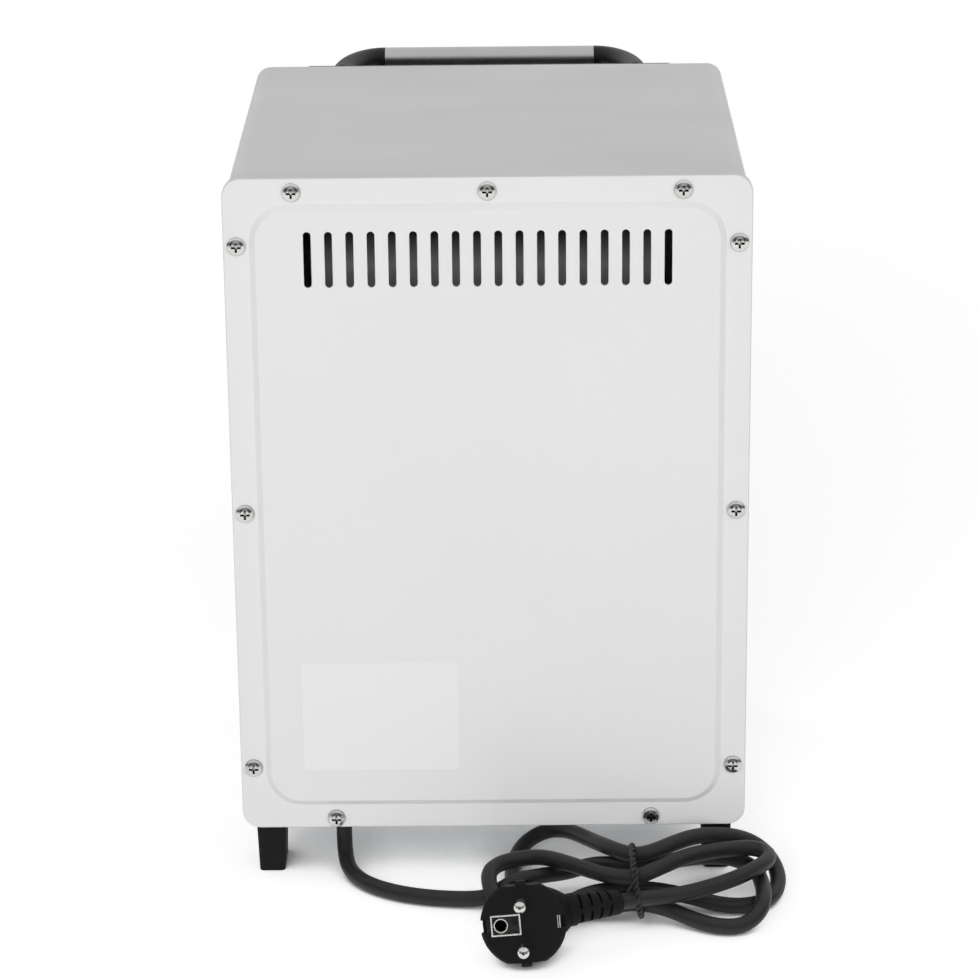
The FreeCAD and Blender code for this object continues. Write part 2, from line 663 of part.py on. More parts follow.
def insulation_blanket():
    back = CHAMBER_Y + CHAMBER_D + SHEET + FIT
    low = CHAMBER_Z - SHEET - FIT
    high = CHAMBER_TOP + SHEET + FIT
    start = CHAMBER_Y + CATCH_L + FIT
    wool = block(-WALL_X, WALL_X, start, back + BLANKET, low - BLANKET, high + BLANKET)
    return wool.cut(block(-WALL_X - PAST, WALL_X + PAST, start - PAST, back, low, high))


def door_seal():
    inner = 2 * SHEET
    outer = inner + 2 * SEAL_W
    front = DOOR_BACK_Y + FIT
    ring = standing_plate(CHAMBER_W + outer, CHAMBER_H + outer, CHAMBER_CORNER + SHEET + SEAL_W, front,
                          FASCIA_Y, CHAMBER_MID)
    fold = [edge for edge in ring.Edges if edge.BoundBox.YMax < front + 0.01]
    ring = ring.makeFillet(1.0, fold)
    return ring.cut(standing_plate(CHAMBER_W + inner, CHAMBER_H + inner, CHAMBER_CORNER + SHEET,
                                   front - PAST, FASCIA_Y + PAST, CHAMBER_MID))


def heater_tube(place):
    reach = X_AXIS * (WALL_X + CAP_SOCKET - FIT)
    bore = X_AXIS * (WALL_X + CAP_SOCKET + PAST)
    return rod(place - reach, place + reach, HEATER_D).cut(rod(place - bore, place + bore, HEATER_D - 2 * HEATER_WALL))


def heater_coils():
    reach = X_AXIS * (WALL_X + CAP_SOCKET - FIT)
    width = HEATER_D - 2 * HEATER_WALL - 2 * HEATER_GAP
    return group([rod(place - reach, place + reach, width) for place in heater_places().values()])


def heater_cap(place):
    socket = HEATER_D / 2 + RUN_FIT
    inner = -2.0
    profile = [
        (socket, inner), (CAP_NECK_D / 2, inner), (CAP_NECK_D / 2, SHEET), (CAP_FLANGE_D / 2, SHEET),
        (CAP_FLANGE_D / 2, 5.0), (CAP_BODY_D / 2, 6.5), (CAP_BODY_D / 2, CAP_L - 1), (CAP_BODY_D / 2 - 1, CAP_L),
        (0, CAP_L), (0, CAP_SOCKET), (socket, CAP_SOCKET),
    ]
    return placed(lathe(profile), place + X_AXIS * WALL_X, X_AXIS)


def heater_caps():
    right = [heater_cap(place) for place in heater_places().values()]
    return group(right + [across(cap) for cap in right])


def wire_rack():
    # A bent frame wire with rods welded across it, level with the frame.
    z = RACK_Z + RACK_WIRE / 2 + RUN_FIT
    width = CHAMBER_W - 2 * SHELF_PLAY - RACK_WIRE
    y_middle = CHAMBER_Y + CHAMBER_D / 2
    middle = V(0, y_middle, z)
    path = rounded_outline(width, RACK_L, 8.0, middle, Y_AXIS)
    start = middle + V(width / 2, RACK_L / 2 - 8.0, 0)
    frame = path.makePipeShell([Part.Wire([Part.makeCircle(RACK_WIRE / 2, start, Y_AXIS)])], True, False)
    pitch = width / (RACK_RODS + 1)
    rods = []
    for i in range(RACK_RODS):
        x = -width / 2 + (i + 1) * pitch
        rods.append(rod(V(x, y_middle - RACK_L / 2, z), V(x, y_middle + RACK_L / 2, z), RACK_ROD))
    for y in (y_middle - RACK_L / 5, y_middle + RACK_L / 5):
        rods.append(rod(V(-width / 2, y, z), V(width / 2, y, z), RACK_ROD))
    return frame.fuse(rods)


def instrument_tray():
    # A drawn pan that hangs by its rim from the upper ledges.
    y_middle = CHAMBER_Y + CHAMBER_D / 2
    pan_w = CHAMBER_W - 2 * LEDGE_DEPTH - 2 * SHELF_PLAY
    floor = TRAY_Z - TRAY_DEPTH
    rim_top = TRAY_Z + SHEET
    pan_l = TRAY_L - 2 * TRAY_RIM
    pan = level_plate(pan_w, pan_l, 9.0, floor, rim_top, y_middle)
    pan = pan.makeFillet(2.5, [edge for edge in pan.Edges if edge.BoundBox.ZMax < floor + 0.01])
    hollow = level_plate(pan_w - 2 * SHEET, pan_l - 2 * SHEET, 8.0, floor + SHEET, rim_top, y_middle)
    hollow = hollow.makeFillet(1.5, [edge for edge in hollow.Edges if edge.BoundBox.ZMax < floor + SHEET + 0.01])
    rim = level_plate(pan_w + 2 * TRAY_RIM, TRAY_L, 10.0, TRAY_Z, rim_top, y_middle)
    holes = []
    for column in range(TRAY_COLUMNS):
        for row in range(TRAY_ROWS):
            x = pan_w * ((column + 0.5) / TRAY_COLUMNS - 0.5)
            y = y_middle + pan_l * ((row + 0.5) / TRAY_ROWS - 0.5)
            holes.append(rod(V(x, y, floor - PAST), V(x, y, floor + PAST), TRAY_HOLE))
    return pan.fuse(rim).cut([hollow] + holes)


# Door

def door_side():
    # Side view of the door: round at the hinge, with softened top edges.
    back, face, top = DOOR_BACK_Y, DOOR_FACE_Y, DOOR_TOP
    bend = DOOR_EDGE * (1 - math.sqrt(0.5))
    half = DOOR_W / 2
    rows = [(back, PIVOT_Z), (back, top - DOOR_EDGE), (back - bend, top - bend), (back - DOOR_EDGE, top),
            (face + DOOR_EDGE, top), (face + bend, top - bend), (face, top - DOOR_EDGE), (face, PIVOT_Z),
            (PIVOT_Y, DOOR_BOTTOM)]
    p = [V(-half, y, z) for y, z in rows]
    edges = [
        Part.LineSegment(p[0], p[1]).toShape(), Part.Arc(p[1], p[2], p[3]).toShape(),
        Part.LineSegment(p[3], p[4]).toShape(), Part.Arc(p[4], p[5], p[6]).toShape(),
        Part.LineSegment(p[6], p[7]).toShape(), Part.Arc(p[7], p[8], p[0]).toShape(),
    ]
    return Part.Face(Part.Wire(edges)).extrude(V(DOOR_W, 0, 0))


def handle_screw_seats():
    return [V(side * END_X, DOOR_BACK_Y - HANDLE_SCREW_DEEP, BAR_Z) for side in (-1, 1)]


def strike_block(grow):
    return block(-STRIKE_W / 2 - grow, STRIKE_W / 2 + grow, DOOR_BACK_Y - STRIKE_T, DOOR_BACK_Y,
                 CATCH_Z - STRIKE_H / 2 - grow, CATCH_Z + STRIKE_H / 2 + grow)


def door_frame():
    pocket = standing_plate(POCKET_W, POCKET_H, WINDOW_CORNER, DOOR_FACE_Y + DOOR_RIM, DOOR_BACK_Y + PAST, POCKET_MID)
    face = DOOR_FACE_Y
    sill = rounded_outline(WINDOW_W, WINDOW_H, WINDOW_CORNER, V(0, face + DOOR_RIM, POCKET_MID))
    brow = rounded_outline(WINDOW_W + 2 * DOOR_RIM, WINDOW_H + 2 * DOOR_RIM, WINDOW_CORNER + DOOR_RIM,
                           V(0, face, POCKET_MID))
    window = Part.makeLoft([brow, sill], True, True)
    tools = [pocket, window, strike_block(FIT)]
    for seat in handle_screw_seats():
        tools.append(drill(seat + Y_AXIS * HANDLE_SCREW_DEEP, Y_AXIS, SCREW_HEAD_D + 1.0, HANDLE_SCREW_DEEP))
        tools.append(drill(seat, Y_AXIS, SCREW_HOLE, DOOR_T))
    for side in (-1, 1):
        end = V(side * DOOR_W / 2, PIVOT_Y, PIVOT_Z)
        tools.append(drill(end, X_AXIS * side, PIN_D + 2 * RUN_FIT, PIN_IN_DOOR))
    return door_side().cut(tools)


def door_glass():
    y0 = DOOR_FACE_Y + DOOR_RIM
    return standing_plate(POCKET_W - 2 * FIT, POCKET_H - 2 * FIT, WINDOW_CORNER - FIT, y0, y0 + GLASS_T, POCKET_MID)


def door_inner_frame():
    # A folded sheet pan that presses the glass forward and closes the door's back.
    y0 = DOOR_FACE_Y + DOOR_RIM + GLASS_T
    width = POCKET_W - 2 * FIT
    height = POCKET_H - 2 * FIT
    corner = WINDOW_CORNER - FIT
    pan = standing_plate(width, height, corner, y0, DOOR_BACK_Y, POCKET_MID)
    hollow = standing_plate(width - 2 * SHEET, height - 2 * SHEET, corner - SHEET, y0 - PAST, DOOR_BACK_Y - SHEET,
                            POCKET_MID)
    window = standing_plate(WINDOW_W + 2 * WINDOW_STEP, WINDOW_H + 2 * WINDOW_STEP, WINDOW_CORNER + WINDOW_STEP,
                            y0, DOOR_BACK_Y + PAST, POCKET_MID)
    return pan.cut([hollow, window])


def hinge_pin():
    start = V(DOOR_W / 2 - PIN_IN_DOOR, PIVOT_Y, PIVOT_Z)
    length = PIN_IN_DOOR + EAR_GAP + EAR_T + 1.0
    radius = PIN_D / 2
    return placed(lathe([(0, 0), (radius, 0), (radius, length - 0.8), (radius - 0.8, length), (0, length)]),
                  start, X_AXIS)


def hinge_bracket():
    # The ear that holds the door's pin, and the foot that is screwed to the front panel.
    ear = rod(V(EAR_X, PIVOT_Y, PIVOT_Z), V(EAR_X + EAR_T, PIVOT_Y, PIVOT_Z), 2 * EAR_R)
    web = block(EAR_X, EAR_X + EAR_T, PIVOT_Y, FASCIA_Y, PIVOT_Z - EAR_R, PIVOT_Z + EAR_R)
    plate = standing_plate(HINGE_PLATE_W, 3 * EAR_R, 2.0, FASCIA_Y - EAR_T, FASCIA_Y, PIVOT_Z,
                           EAR_X + HINGE_PLATE_W / 2)
    holes = [drill(V(EAR_X + EAR_T, PIVOT_Y, PIVOT_Z), X_AXIS, PIN_D + 2 * RUN_FIT, EAR_T + PAST)]
    holes += [drill(seat, -Y_AXIS, HINGE_SCREW_D + 2 * RUN_FIT, EAR_T + PAST) for seat in hinge_screw_places()]
    return ear.fuse([web, plate]).cut(holes)


def hinge_screws():
    return group([pan_screw(seat, -Y_AXIS, HINGE_SCREW_L, HINGE_SCREW_D, HINGE_SCREW_HEAD_D, HINGE_SCREW_HEAD_H)
                  for seat in hinge_screw_places()])


def magnet_catch():
    body = standing_plate(CATCH_W, CATCH_H, 1.5, CHAMBER_Y, CHAMBER_Y + CATCH_L, CATCH_Z)
    nose = standing_plate(CATCH_NOSE_W, CATCH_NOSE_H, 1.0, DOOR_BACK_Y + FIT, CHAMBER_Y, CATCH_Z)
    return body.fuse(nose)


def handle_bar():
    # Turned down at both ends into spigots that the handle's ends hold.
    half = X_AXIS * (BAR_VISIBLE / 2 - RUN_FIT)
    reach = X_AXIS * (BAR_VISIBLE / 2 + BAR_SOCKET)
    middle = V(0, BAR_Y, BAR_Z)
    bore = reach + X_AXIS * PAST
    solid = rod(middle - half, middle + half, BAR_D).fuse(rod(middle - reach, middle + reach, BAR_SPIGOT_D))
    return solid.cut(rod(middle - bore, middle + bore, BAR_SPIGOT_D - 2 * BAR_WALL))


def handle_end():
    # Sweeps back from the bar to the door along a quarter of an ellipse.
    start = V(BAR_VISIBLE / 2, BAR_Y, BAR_Z)
    end = V(END_X, DOOR_FACE_Y, BAR_Z)
    ellipse = Part.Ellipse(start, end, V(BAR_VISIBLE / 2, DOOR_FACE_Y, BAR_Z))
    path = Part.Wire([Part.ArcOfEllipse(ellipse, 0, math.pi / 2).toShape()])
    mouth = Part.Wire([Part.makeCircle(END_D / 2, start, X_AXIS)])
    sweep = path.makePipeShell([mouth], True, False)
    socket = rod(start - X_AXIS * PAST, start + X_AXIS * BAR_SOCKET, BAR_SPIGOT_D + 2 * RUN_FIT)
    pilot = rod(end + Y_AXIS * PAST, end - Y_AXIS * HANDLE_SCREW_L * 0.75, SCREW_D + 2 * RUN_FIT)
    return sweep.cut([socket, pilot])


def handle_screws():
    return group([pan_screw(seat, Y_AXIS, HANDLE_SCREW_L) for seat in handle_screw_seats()])


# Controls

def tabs(x, y, z):
    # Three push-on terminals standing out behind a switch.
    return [block(x + step * 9 - TAB_W / 2, x + step * 9 + TAB_W / 2, y - 1, y + TAB_L, z - TAB_T / 2, z + TAB_T / 2)
            for step in (-1, 0, 1)]


def bush(place):
    return rod(place - Y_AXIS * BUSH_OUT, V(place.x, CHAMBER_Y + 1, place.z), BUSH_D)


def shaft_bore(place):
    return rod(place - Y_AXIS * (BUSH_OUT + PAST), V(place.x, CHAMBER_Y + SHAFT_IN + FIT, place.z), SHAFT_D + 2 * RUN_FIT)


def thermostat_body():
    place = control_places()[1]
    y1 = CHAMBER_Y + THERMOSTAT_L
    case = standing_plate(THERMOSTAT_W, THERMOSTAT_W, 3.0, CHAMBER_Y, y1, place.z, place.x)
    return case.fuse([bush(place)] + tabs(place.x, y1, place.z)).cut(shaft_bore(place))


def timer_body():
    place = control_places()[0]
    y1 = CHAMBER_Y + TIMER_L
    radius = TIMER_D / 2
    can = placed(lathe([(0, 0), (radius, 0), (radius, TIMER_L - 2), (radius - 2, TIMER_L), (0, TIMER_L)]),
                 V(place.x, CHAMBER_Y, place.z), Y_AXIS)
    return can.fuse([bush(place)] + tabs(place.x, y1, place.z)).cut(shaft_bore(place))


def control_nuts():
    nuts = []
    for place in control_places():
        corners = [V(NUT_FLATS / math.sqrt(3) * math.cos(math.radians(60 * i)), 0,
                     NUT_FLATS / math.sqrt(3) * math.sin(math.radians(60 * i))) + place for i in range(6)]
        nut = Part.Face(Part.makePolygon(corners + corners[:1])).extrude(-Y_AXIS * NUT_T)
        nuts.append(nut.cut(rod(place + Y_AXIS * PAST, place - Y_AXIS * PAST, BUSH_D + 2 * RUN_FIT)))
    return group(nuts)


def shaft_solid(place, grow, tip):
    # The shaft has a flat near its tip, where the knob grips it.
    radius = SHAFT_D / 2 + grow
    back = V(place.x, CHAMBER_Y + SHAFT_IN, place.z)
    front = V(place.x, KNOB_BACK_Y - tip, place.z)
    flat = block(place.x - radius, place.x + radius, front.y - PAST, KNOB_BACK_Y - KNOB_RECESS,
                 place.z + radius - SHAFT_FLAT, place.z + radius + PAST)
    return rod(back, front, 2 * radius).cut(flat)


def control_shaft(place):
    return shaft_solid(place, 0.0, KNOB_H - KNOB_CAP - FIT)


def knob(place):
    radius = KNOB_D / 2
    grip = KNOB_GRIP_D / 2
    profile = [
        (0, 0), (radius, 0), (radius, 2.2), (radius - 0.6, 3.2), (grip + 1.0, 5.0), (grip, 6.5),
        (grip - 0.5, KNOB_H - 1.6), (grip - 2.0, KNOB_H), (0, KNOB_H),
    ]
    body = lathe(profile)
    flutes = []
    for i in range(KNOB_FLUTES):
        turn = math.radians(360 / KNOB_FLUTES * (i + 0.5))
        spot = V((grip + FLUTE_D / 4) * math.cos(turn), (grip + FLUTE_D / 4) * math.sin(turn), 6.5)
        flutes.append(rod(spot, spot + Z_AXIS * KNOB_H, FLUTE_D))
    body = placed(body.cut(flutes), V(place.x, KNOB_BACK_Y, place.z), -Y_AXIS)
    line = block(place.x - 0.7, place.x + 0.7, KNOB_BACK_Y - KNOB_H - PAST, KNOB_BACK_Y - KNOB_H + 0.6,
                 place.z + grip * 0.35, place.z + grip + PAST)
    recess = rod(V(place.x, KNOB_BACK_Y + PAST, place.z), V(place.x, KNOB_BACK_Y - KNOB_RECESS, place.z), KNOB_RECESS_D)
    return body.cut([line, recess, shaft_solid(place, RUN_FIT / 2, KNOB_H - KNOB_CAP)])


def lamp(place):
    radius = LAMP_D / 2
    bezel = LAMP_BEZEL_D / 2
    profile = [
        (0, -LAMP_L), (radius - 1, -LAMP_L), (radius, -LAMP_L + 1), (radius, 0), (bezel, 0), (bezel, 1.0),
        (bezel - 0.8, 1.8), (radius - 0.2, 1.8), (radius - 0.6, 3.4), (radius - 2.2, 4.6), (0, 5.0),
    ]
    return placed(lathe(profile), place, -Y_AXIS)


# Inside wiring

def thermostat_probe():
    z = BULB_Z
    start = control_places()[1] + V(8, CHAMBER_Y - FASCIA_Y + THERMOSTAT_L / 2, THERMOSTAT_W / 2)
    bulb_x = WALL_X - BULB_D / 2 - FIT
    run = CONTROL_Z + THERMOSTAT_W / 2 + 14
    tube = tube_along("thermostat_probe", [
        start,
        V(start.x, start.y, run),
        V(CAPILLARY_X, start.y + 10, run),
        V(CAPILLARY_X, BULB_Y, run + 24),
        V(CAPILLARY_X, BULB_Y, z),
        V(bulb_x, BULB_Y, z),
    ], CAPILLARY_D)
    bulb = rod(V(bulb_x, BULB_Y - CAPILLARY_D, z), V(bulb_x, BULB_Y + BULB_L, z), BULB_D)
    return tube.fuse(bulb)


def terminal_block():
    z0 = BASE_Z + SHEET
    body = block(TERMINAL_X - TERMINAL_W / 2, TERMINAL_X + TERMINAL_W / 2, TERMINAL_Y - TERMINAL_L / 2,
                 TERMINAL_Y + TERMINAL_L / 2, z0, z0 + TERMINAL_H)
    tools = []
    pitch = TERMINAL_W / TERMINAL_POLES
    for pole in range(TERMINAL_POLES):
        x = TERMINAL_X + (pole - (TERMINAL_POLES - 1) / 2) * pitch
        z = z0 + TERMINAL_H * 0.45
        tools.append(rod(V(x, TERMINAL_Y - TERMINAL_L / 2 - PAST, z), V(x, TERMINAL_Y - 2, z), WIRE_D + 2 * RUN_FIT))
        for y in (TERMINAL_Y - TERMINAL_L / 4, TERMINAL_Y + TERMINAL_L / 4):
            tools.append(rod(V(x, y, z0 + TERMINAL_H * 0.7), V(x, y, z0 + TERMINAL_H + PAST), 4.0))
        if pole:
            gap = x - pitch / 2
            tools.append(block(gap - 1, gap + 1, TERMINAL_Y - TERMINAL_L, TERMINAL_Y + TERMINAL_L,
                               z0 + TERMINAL_H * 0.7, z0 + TERMINAL_H + PAST))
    return body.cut(tools)


def inner_cord():
    z = BASE_Z + SHEET + TERMINAL_H * 0.75
    entry = V(TERMINAL_X, TERMINAL_Y + TERMINAL_L / 2, z)
    return tube_along("inner_cord", [
        V(GLAND_X, GLAND_Y, GLAND_Z),
        V(GLAND_X, GLAND_Y, z),
        V(GLAND_X - 12, GLAND_Y - 5, z),
        V(TERMINAL_X, GLAND_Y - 16, z),
        entry,
    ], CORD_D)


def cord_gland():
    bore = CORD_D / 2 + RUN_FIT
    neck = GLAND_NECK_D / 2
    flange = GLAND_FLANGE_D / 2
    profile = [
        (bore, -GLAND_OUT), (flange - 1.5, -GLAND_OUT), (flange, -GLAND_OUT + 1), (flange, 0), (neck, 0),
        (neck, SHEET), (neck + 0.8, SHEET), (neck, SHEET + GLAND_IN), (bore, SHEET + GLAND_IN),
    ]
    return placed(lathe(profile), V(GLAND_X, GLAND_Y, BASE_Z), Z_AXIS)


# Cord, tie and plug

def power_cord_lead():
    return tube_along("power_cord_lead", LEAD_ROUTE, CORD_D)


def power_cord_tail():
    return rod(RELIEF_END, RELIEF_END + TAIL_HEADING * TAIL_L, CORD_D)


def oval(x, y0, y1, z0, z1):
    # An upright oval across the hank, y0 to y1 wide and z0 to z1 high.
    middle = V(x, (y0 + y1) / 2, (z0 + z1) / 2)
    ellipse = Part.Ellipse(middle + Y_AXIS * ((y1 - y0) / 2), middle + Z_AXIS * ((z1 - z0) / 2), middle)
    return Part.Wire([ellipse.toShape()])


def power_cord_hank():
    return Part.makeLoft([oval(*row) for row in HANK_OVALS], True, True)


def cord_tie():
    # A flat band round the hank's waist, with its two ends twisted together at the front.
    row = [row for row in HANK_OVALS if row[0] == TIE_X][0]
    _, y0, y1, z0, z1 = row
    x0 = TIE_X - TIE_W / 2
    outer = Part.Face(oval(x0, y0 - TIE_T, y1 + TIE_T, z0 - TIE_T, z1 + TIE_T)).extrude(V(TIE_W, 0, 0))
    inner = Part.Face(oval(x0, y0, y1, z0, z1)).extrude(V(TIE_W, 0, 0))
    z = (z0 + z1) / 2 + 5
    knot = rod(V(TIE_X, y1 - 0.5, z), V(TIE_X, y1 + 6, z + 2), 3.0)
    tail = rod(V(TIE_X, y1 + 5, z + 2), V(TIE_X + 2, y1 + 9, z - 10), 1.6)
    return outer.cut(inner).fuse([knot, tail])


def plug_placed(shape):
    # The plug is modelled with its face at the origin, pins along +Y, then laid on its rim.
    moved = shape.copy()
    moved.Placement = FreeCAD.Placement(V(PLUG_X, PLUG_Y, PLUG_Z), PLUG_TURN).multiply(moved.Placement)
    return moved


def shroud():
    # Narrows from the body's back to the neck, which leans with the cord's pull.
    rings = []
    for out, deep, high in PLUG_SHROUD:
        middle = V(-out, 0, 0)
        ellipse = Part.Ellipse(middle + Z_AXIS * high, middle + Y_AXIS * deep, middle)
        rings.append(Part.Wire([ellipse.toShape()]))
    solid = Part.makeLoft(rings, True, False)
    solid.Placement = FreeCAD.Placement(V(0, -PLUG_NECK_DEEP, 0), NECK_TURN)
    return solid


def earth_plate_block(grow, deep):
    half_l = EARTH_PLATE_L / 2 + grow
    half_h = EARTH_PLATE_H / 2 + grow
    return block(EARTH_PLATE_X - half_l, EARTH_PLATE_X + half_l, -deep, PAST, -half_h, half_h)


def clip_block(side, inner, outer, top, grow):
    x = (side * (inner - grow), side * (outer + grow))
    half = CLIP_W / 2 + grow
    return block(min(x), max(x), -CLIP_L - grow, top, -half, half)


def plug_flats():
    # The face's disc is flattened above and below, either side of a standing rib.
    tools = []
    for side in (-1, 1):
        z = sorted((side * PLUG_FLAT, side * PLUG_D))
        for hand in (-1, 1):
            x = sorted((hand * PLUG_KEY_W / 2, hand * PLUG_D))
            tools.append(block(x[0], x[1], -PLUG_DISC_L, PAST, z[0], z[1]))
    return tools


def plug_body():
    radius = PLUG_D / 2
    waist = PLUG_WAIST_D / 2
    shoulder = PLUG_DEPTH - 3.0
    back = waist - (shoulder - PLUG_DISC_L) * math.tan(TILT)
    profile = [
        (0, 0), (radius - PLUG_EDGE, 0), (radius, -PLUG_EDGE), (waist, -PLUG_DISC_L), (back, -shoulder),
        (back - 2.7, -PLUG_DEPTH), (0, -PLUG_DEPTH),
    ]
    body = placed(lathe(profile), V(0, 0, 0), Y_AXIS).cut(plug_flats()).fuse(shroud())
    tools = [drill(V(EARTH_HOLE_X, 0, 0), Y_AXIS, EARTH_HOLE_D + 2 * EARTH_TUBE + 2 * RUN_FIT, EARTH_HOLE_L)]
    tools.append(earth_plate_block(RUN_FIT, EARTH_PLATE_DEEP + RUN_FIT))
    for side in (-1, 1):
        tools.append(clip_block(side, CLIP_IN, PLUG_D / 2, PAST, RUN_FIT))
    return plug_placed(body.cut(tools))


def plug_pins():
    radius = PLUG_PIN_D / 2
    pin = lathe([(0, 0), (radius, 0), (radius, PLUG_PIN_L - 1.6), (radius - 0.7, PLUG_PIN_L - 0.4),
                 (radius - 1.6, PLUG_PIN_L), (0, PLUG_PIN_L)])
    pins = [placed(pin, V(0, 0, side * PIN_PITCH / 2), Y_AXIS) for side in (-1, 1)]
    return plug_placed(group(pins))


def plug_earth_contacts():
    # Two side clips, and a lipped plate with the lined hole for a socket's earth pin.
    clips = [clip_block(side, CLIP_IN, CLIP_IN + CLIP_T, -0.6, 0.0) for side in (-1, 1)]
    lip = earth_plate_block(-EARTH_LIP, EARTH_PLATE_DEEP - EARTH_LIP)
    face = block(-PLUG_D, PLUG_D, 0, PLUG_D, -PLUG_D, PLUG_D)
    plate = earth_plate_block(0.0, EARTH_PLATE_DEEP).cut([lip, face])
    outer = EARTH_HOLE_D / 2 + EARTH_TUBE
    lining = placed(lathe([(EARTH_HOLE_D / 2, 0), (outer, 0), (outer, -EARTH_HOLE_L), (EARTH_HOLE_D / 2, -EARTH_HOLE_L)]),
                    V(EARTH_HOLE_X, 0, 0), Y_AXIS)
    bore = drill(V(EARTH_HOLE_X, 0, 0), Y_AXIS, EARTH_HOLE_D, EARTH_HOLE_L)
    return plug_placed(group(clips + [plate.fuse(lining).cut(bore)]))


def relief_spine():
    # Bends from the neck's heading to the cord's.
    curve = Part.BezierCurve()
    curve.setPoles([RELIEF_START, RELIEF_START + NECK_HEADING * 9.0, RELIEF_END - TAIL_HEADING * 9.0, RELIEF_END])
    return curve


def relief_radius(share):
    return (RELIEF_D + (RELIEF_TIP_D - RELIEF_D) * share) / 2


def relief_slits(curve, length):
    # Each slit runs round the sleeve and leaves four webs standing.
    tools = []
    pitch = (length - RELIEF_COLLAR - 3.0) / RELIEF_SLITS
    for slit in range(RELIEF_SLITS):
        share = (RELIEF_COLLAR + (slit + 0.4) * pitch) / length
        outer = relief_radius(share) + 2.0
        inner = CORD_D / 2 + 0.8
        half = RELIEF_SLIT_W / 2
        ring = lathe([(inner, -half), (outer, -half), (outer, half), (inner, half)])
        webs = [block(-RELIEF_WEB / 2, RELIEF_WEB / 2, -outer, outer, -1, 1),
                block(-outer, outer, -RELIEF_WEB / 2, RELIEF_WEB / 2, -1, 1)]
        tools.append(placed(ring.cut(webs), curve.value(share), curve.tangent(share)[0]))
    return tools


def plug_relief():
    # A rubber sleeve with a collar and rows of slits, which tapers from the neck to the cord.
    curve = relief_spine()
    length = curve.length()
    rings = []
    for station in range(7):
        share = station / 6
        circle = Part.makeCircle(relief_radius(share))
        rings.append(Part.Wire([placed(circle, curve.value(share), curve.tangent(share)[0])]))
    sleeve = Part.makeLoft(rings, True, False)
    collar = rod(RELIEF_START, RELIEF_START + NECK_HEADING * RELIEF_COLLAR, RELIEF_D + 0.9)
    return sleeve.fuse(collar).cut(relief_slits(curve, length)).cut(plug_body())


PIECES = {
    "outer_wrap": outer_wrap,
    "rear_panel": rear_panel,
    "front_panel": front_panel,
    "bottom_plate": bottom_plate,
    "rear_screws": rear_screws,
    "foot_front_left": lambda: foot(-FOOT_X, FOOT_Y_FRONT),
    "foot_front_right": lambda: foot(FOOT_X, FOOT_Y_FRONT),
    "foot_rear_left": lambda: foot(-FOOT_X, FOOT_Y_REAR),
    "foot_rear_right": lambda: foot(FOOT_X, FOOT_Y_REAR),
    "foot_screws": foot_screws,
    "chamber_liner": chamber_liner,
    "insulation_blanket": insulation_blanket,
    "door_seal": door_seal,
    "heater_coils": heater_coils,
    "heater_caps": heater_caps,
    "wire_rack": wire_rack,
    "instrument_tray": instrument_tray,
    "hinge_bracket_left": lambda: across(hinge_bracket()),
    "hinge_bracket_right": hinge_bracket,
    "hinge_screws": hinge_screws,
    "magnet_catch": magnet_catch,
    "thermostat_body": thermostat_body,
    "thermostat_probe": thermostat_probe,
    "timer_body": timer_body,
    "control_nuts": control_nuts,
    "power_lamp": lambda: lamp(lamp_places()[0]),
    "heating_lamp": lambda: lamp(lamp_places()[1]),
    "terminal_block": terminal_block,
    "inner_cord": inner_cord,
    "cord_gland": cord_gland,
    "power_cord_lead": power_cord_lead,
    "power_cord_hank": power_cord_hank,
    "power_cord_tail": power_cord_tail,
    "cord_tie": cord_tie,
    "plug_body": plug_body,
    "plug_relief": plug_relief,
    "plug_pins": plug_pins,
    "plug_earth_contacts": plug_earth_contacts,
    "door_frame": door_frame,
    "door_glass": door_glass,
    "door_inner_frame": door_inner_frame,
    "strike_plate": lambda: strike_block(0.0),
    "hinge_pin_left": lambda: across(hinge_pin()),
    "hinge_pin_right": hinge_pin,
    "handle_bar": handle_bar,
    "handle_end_left": lambda: across(handle_end()),
    "handle_end_right": handle_end,
    "handle_screws": handle_screws,
    "temperature_knob": lambda: knob(control_places()[1]),
    "temperature_shaft": lambda: control_shaft(control_places()[1]),
    "timer_knob": lambda: knob(control_places()[0]),
    "timer_shaft": lambda: control_shaft(control_places()[0]),
}


def main():
    os.makedirs("parts", exist_ok=True)
    pieces = {name: make() for name, make in PIECES.items()}
    for name, place in heater_places().items():
        pieces["heater_tube_" + name] = heater_tube(place)
    for name, shape in pieces.items():
        shape.exportStep("parts/" + name + ".step")
        print(name, len(shape.Solids), "solids", round(shape.Volume / 1000, 2), "cm3", "valid", shape.isValid())


main()
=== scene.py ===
import json
import math

import bmesh
import bpy
from mathutils import Matrix, Vector


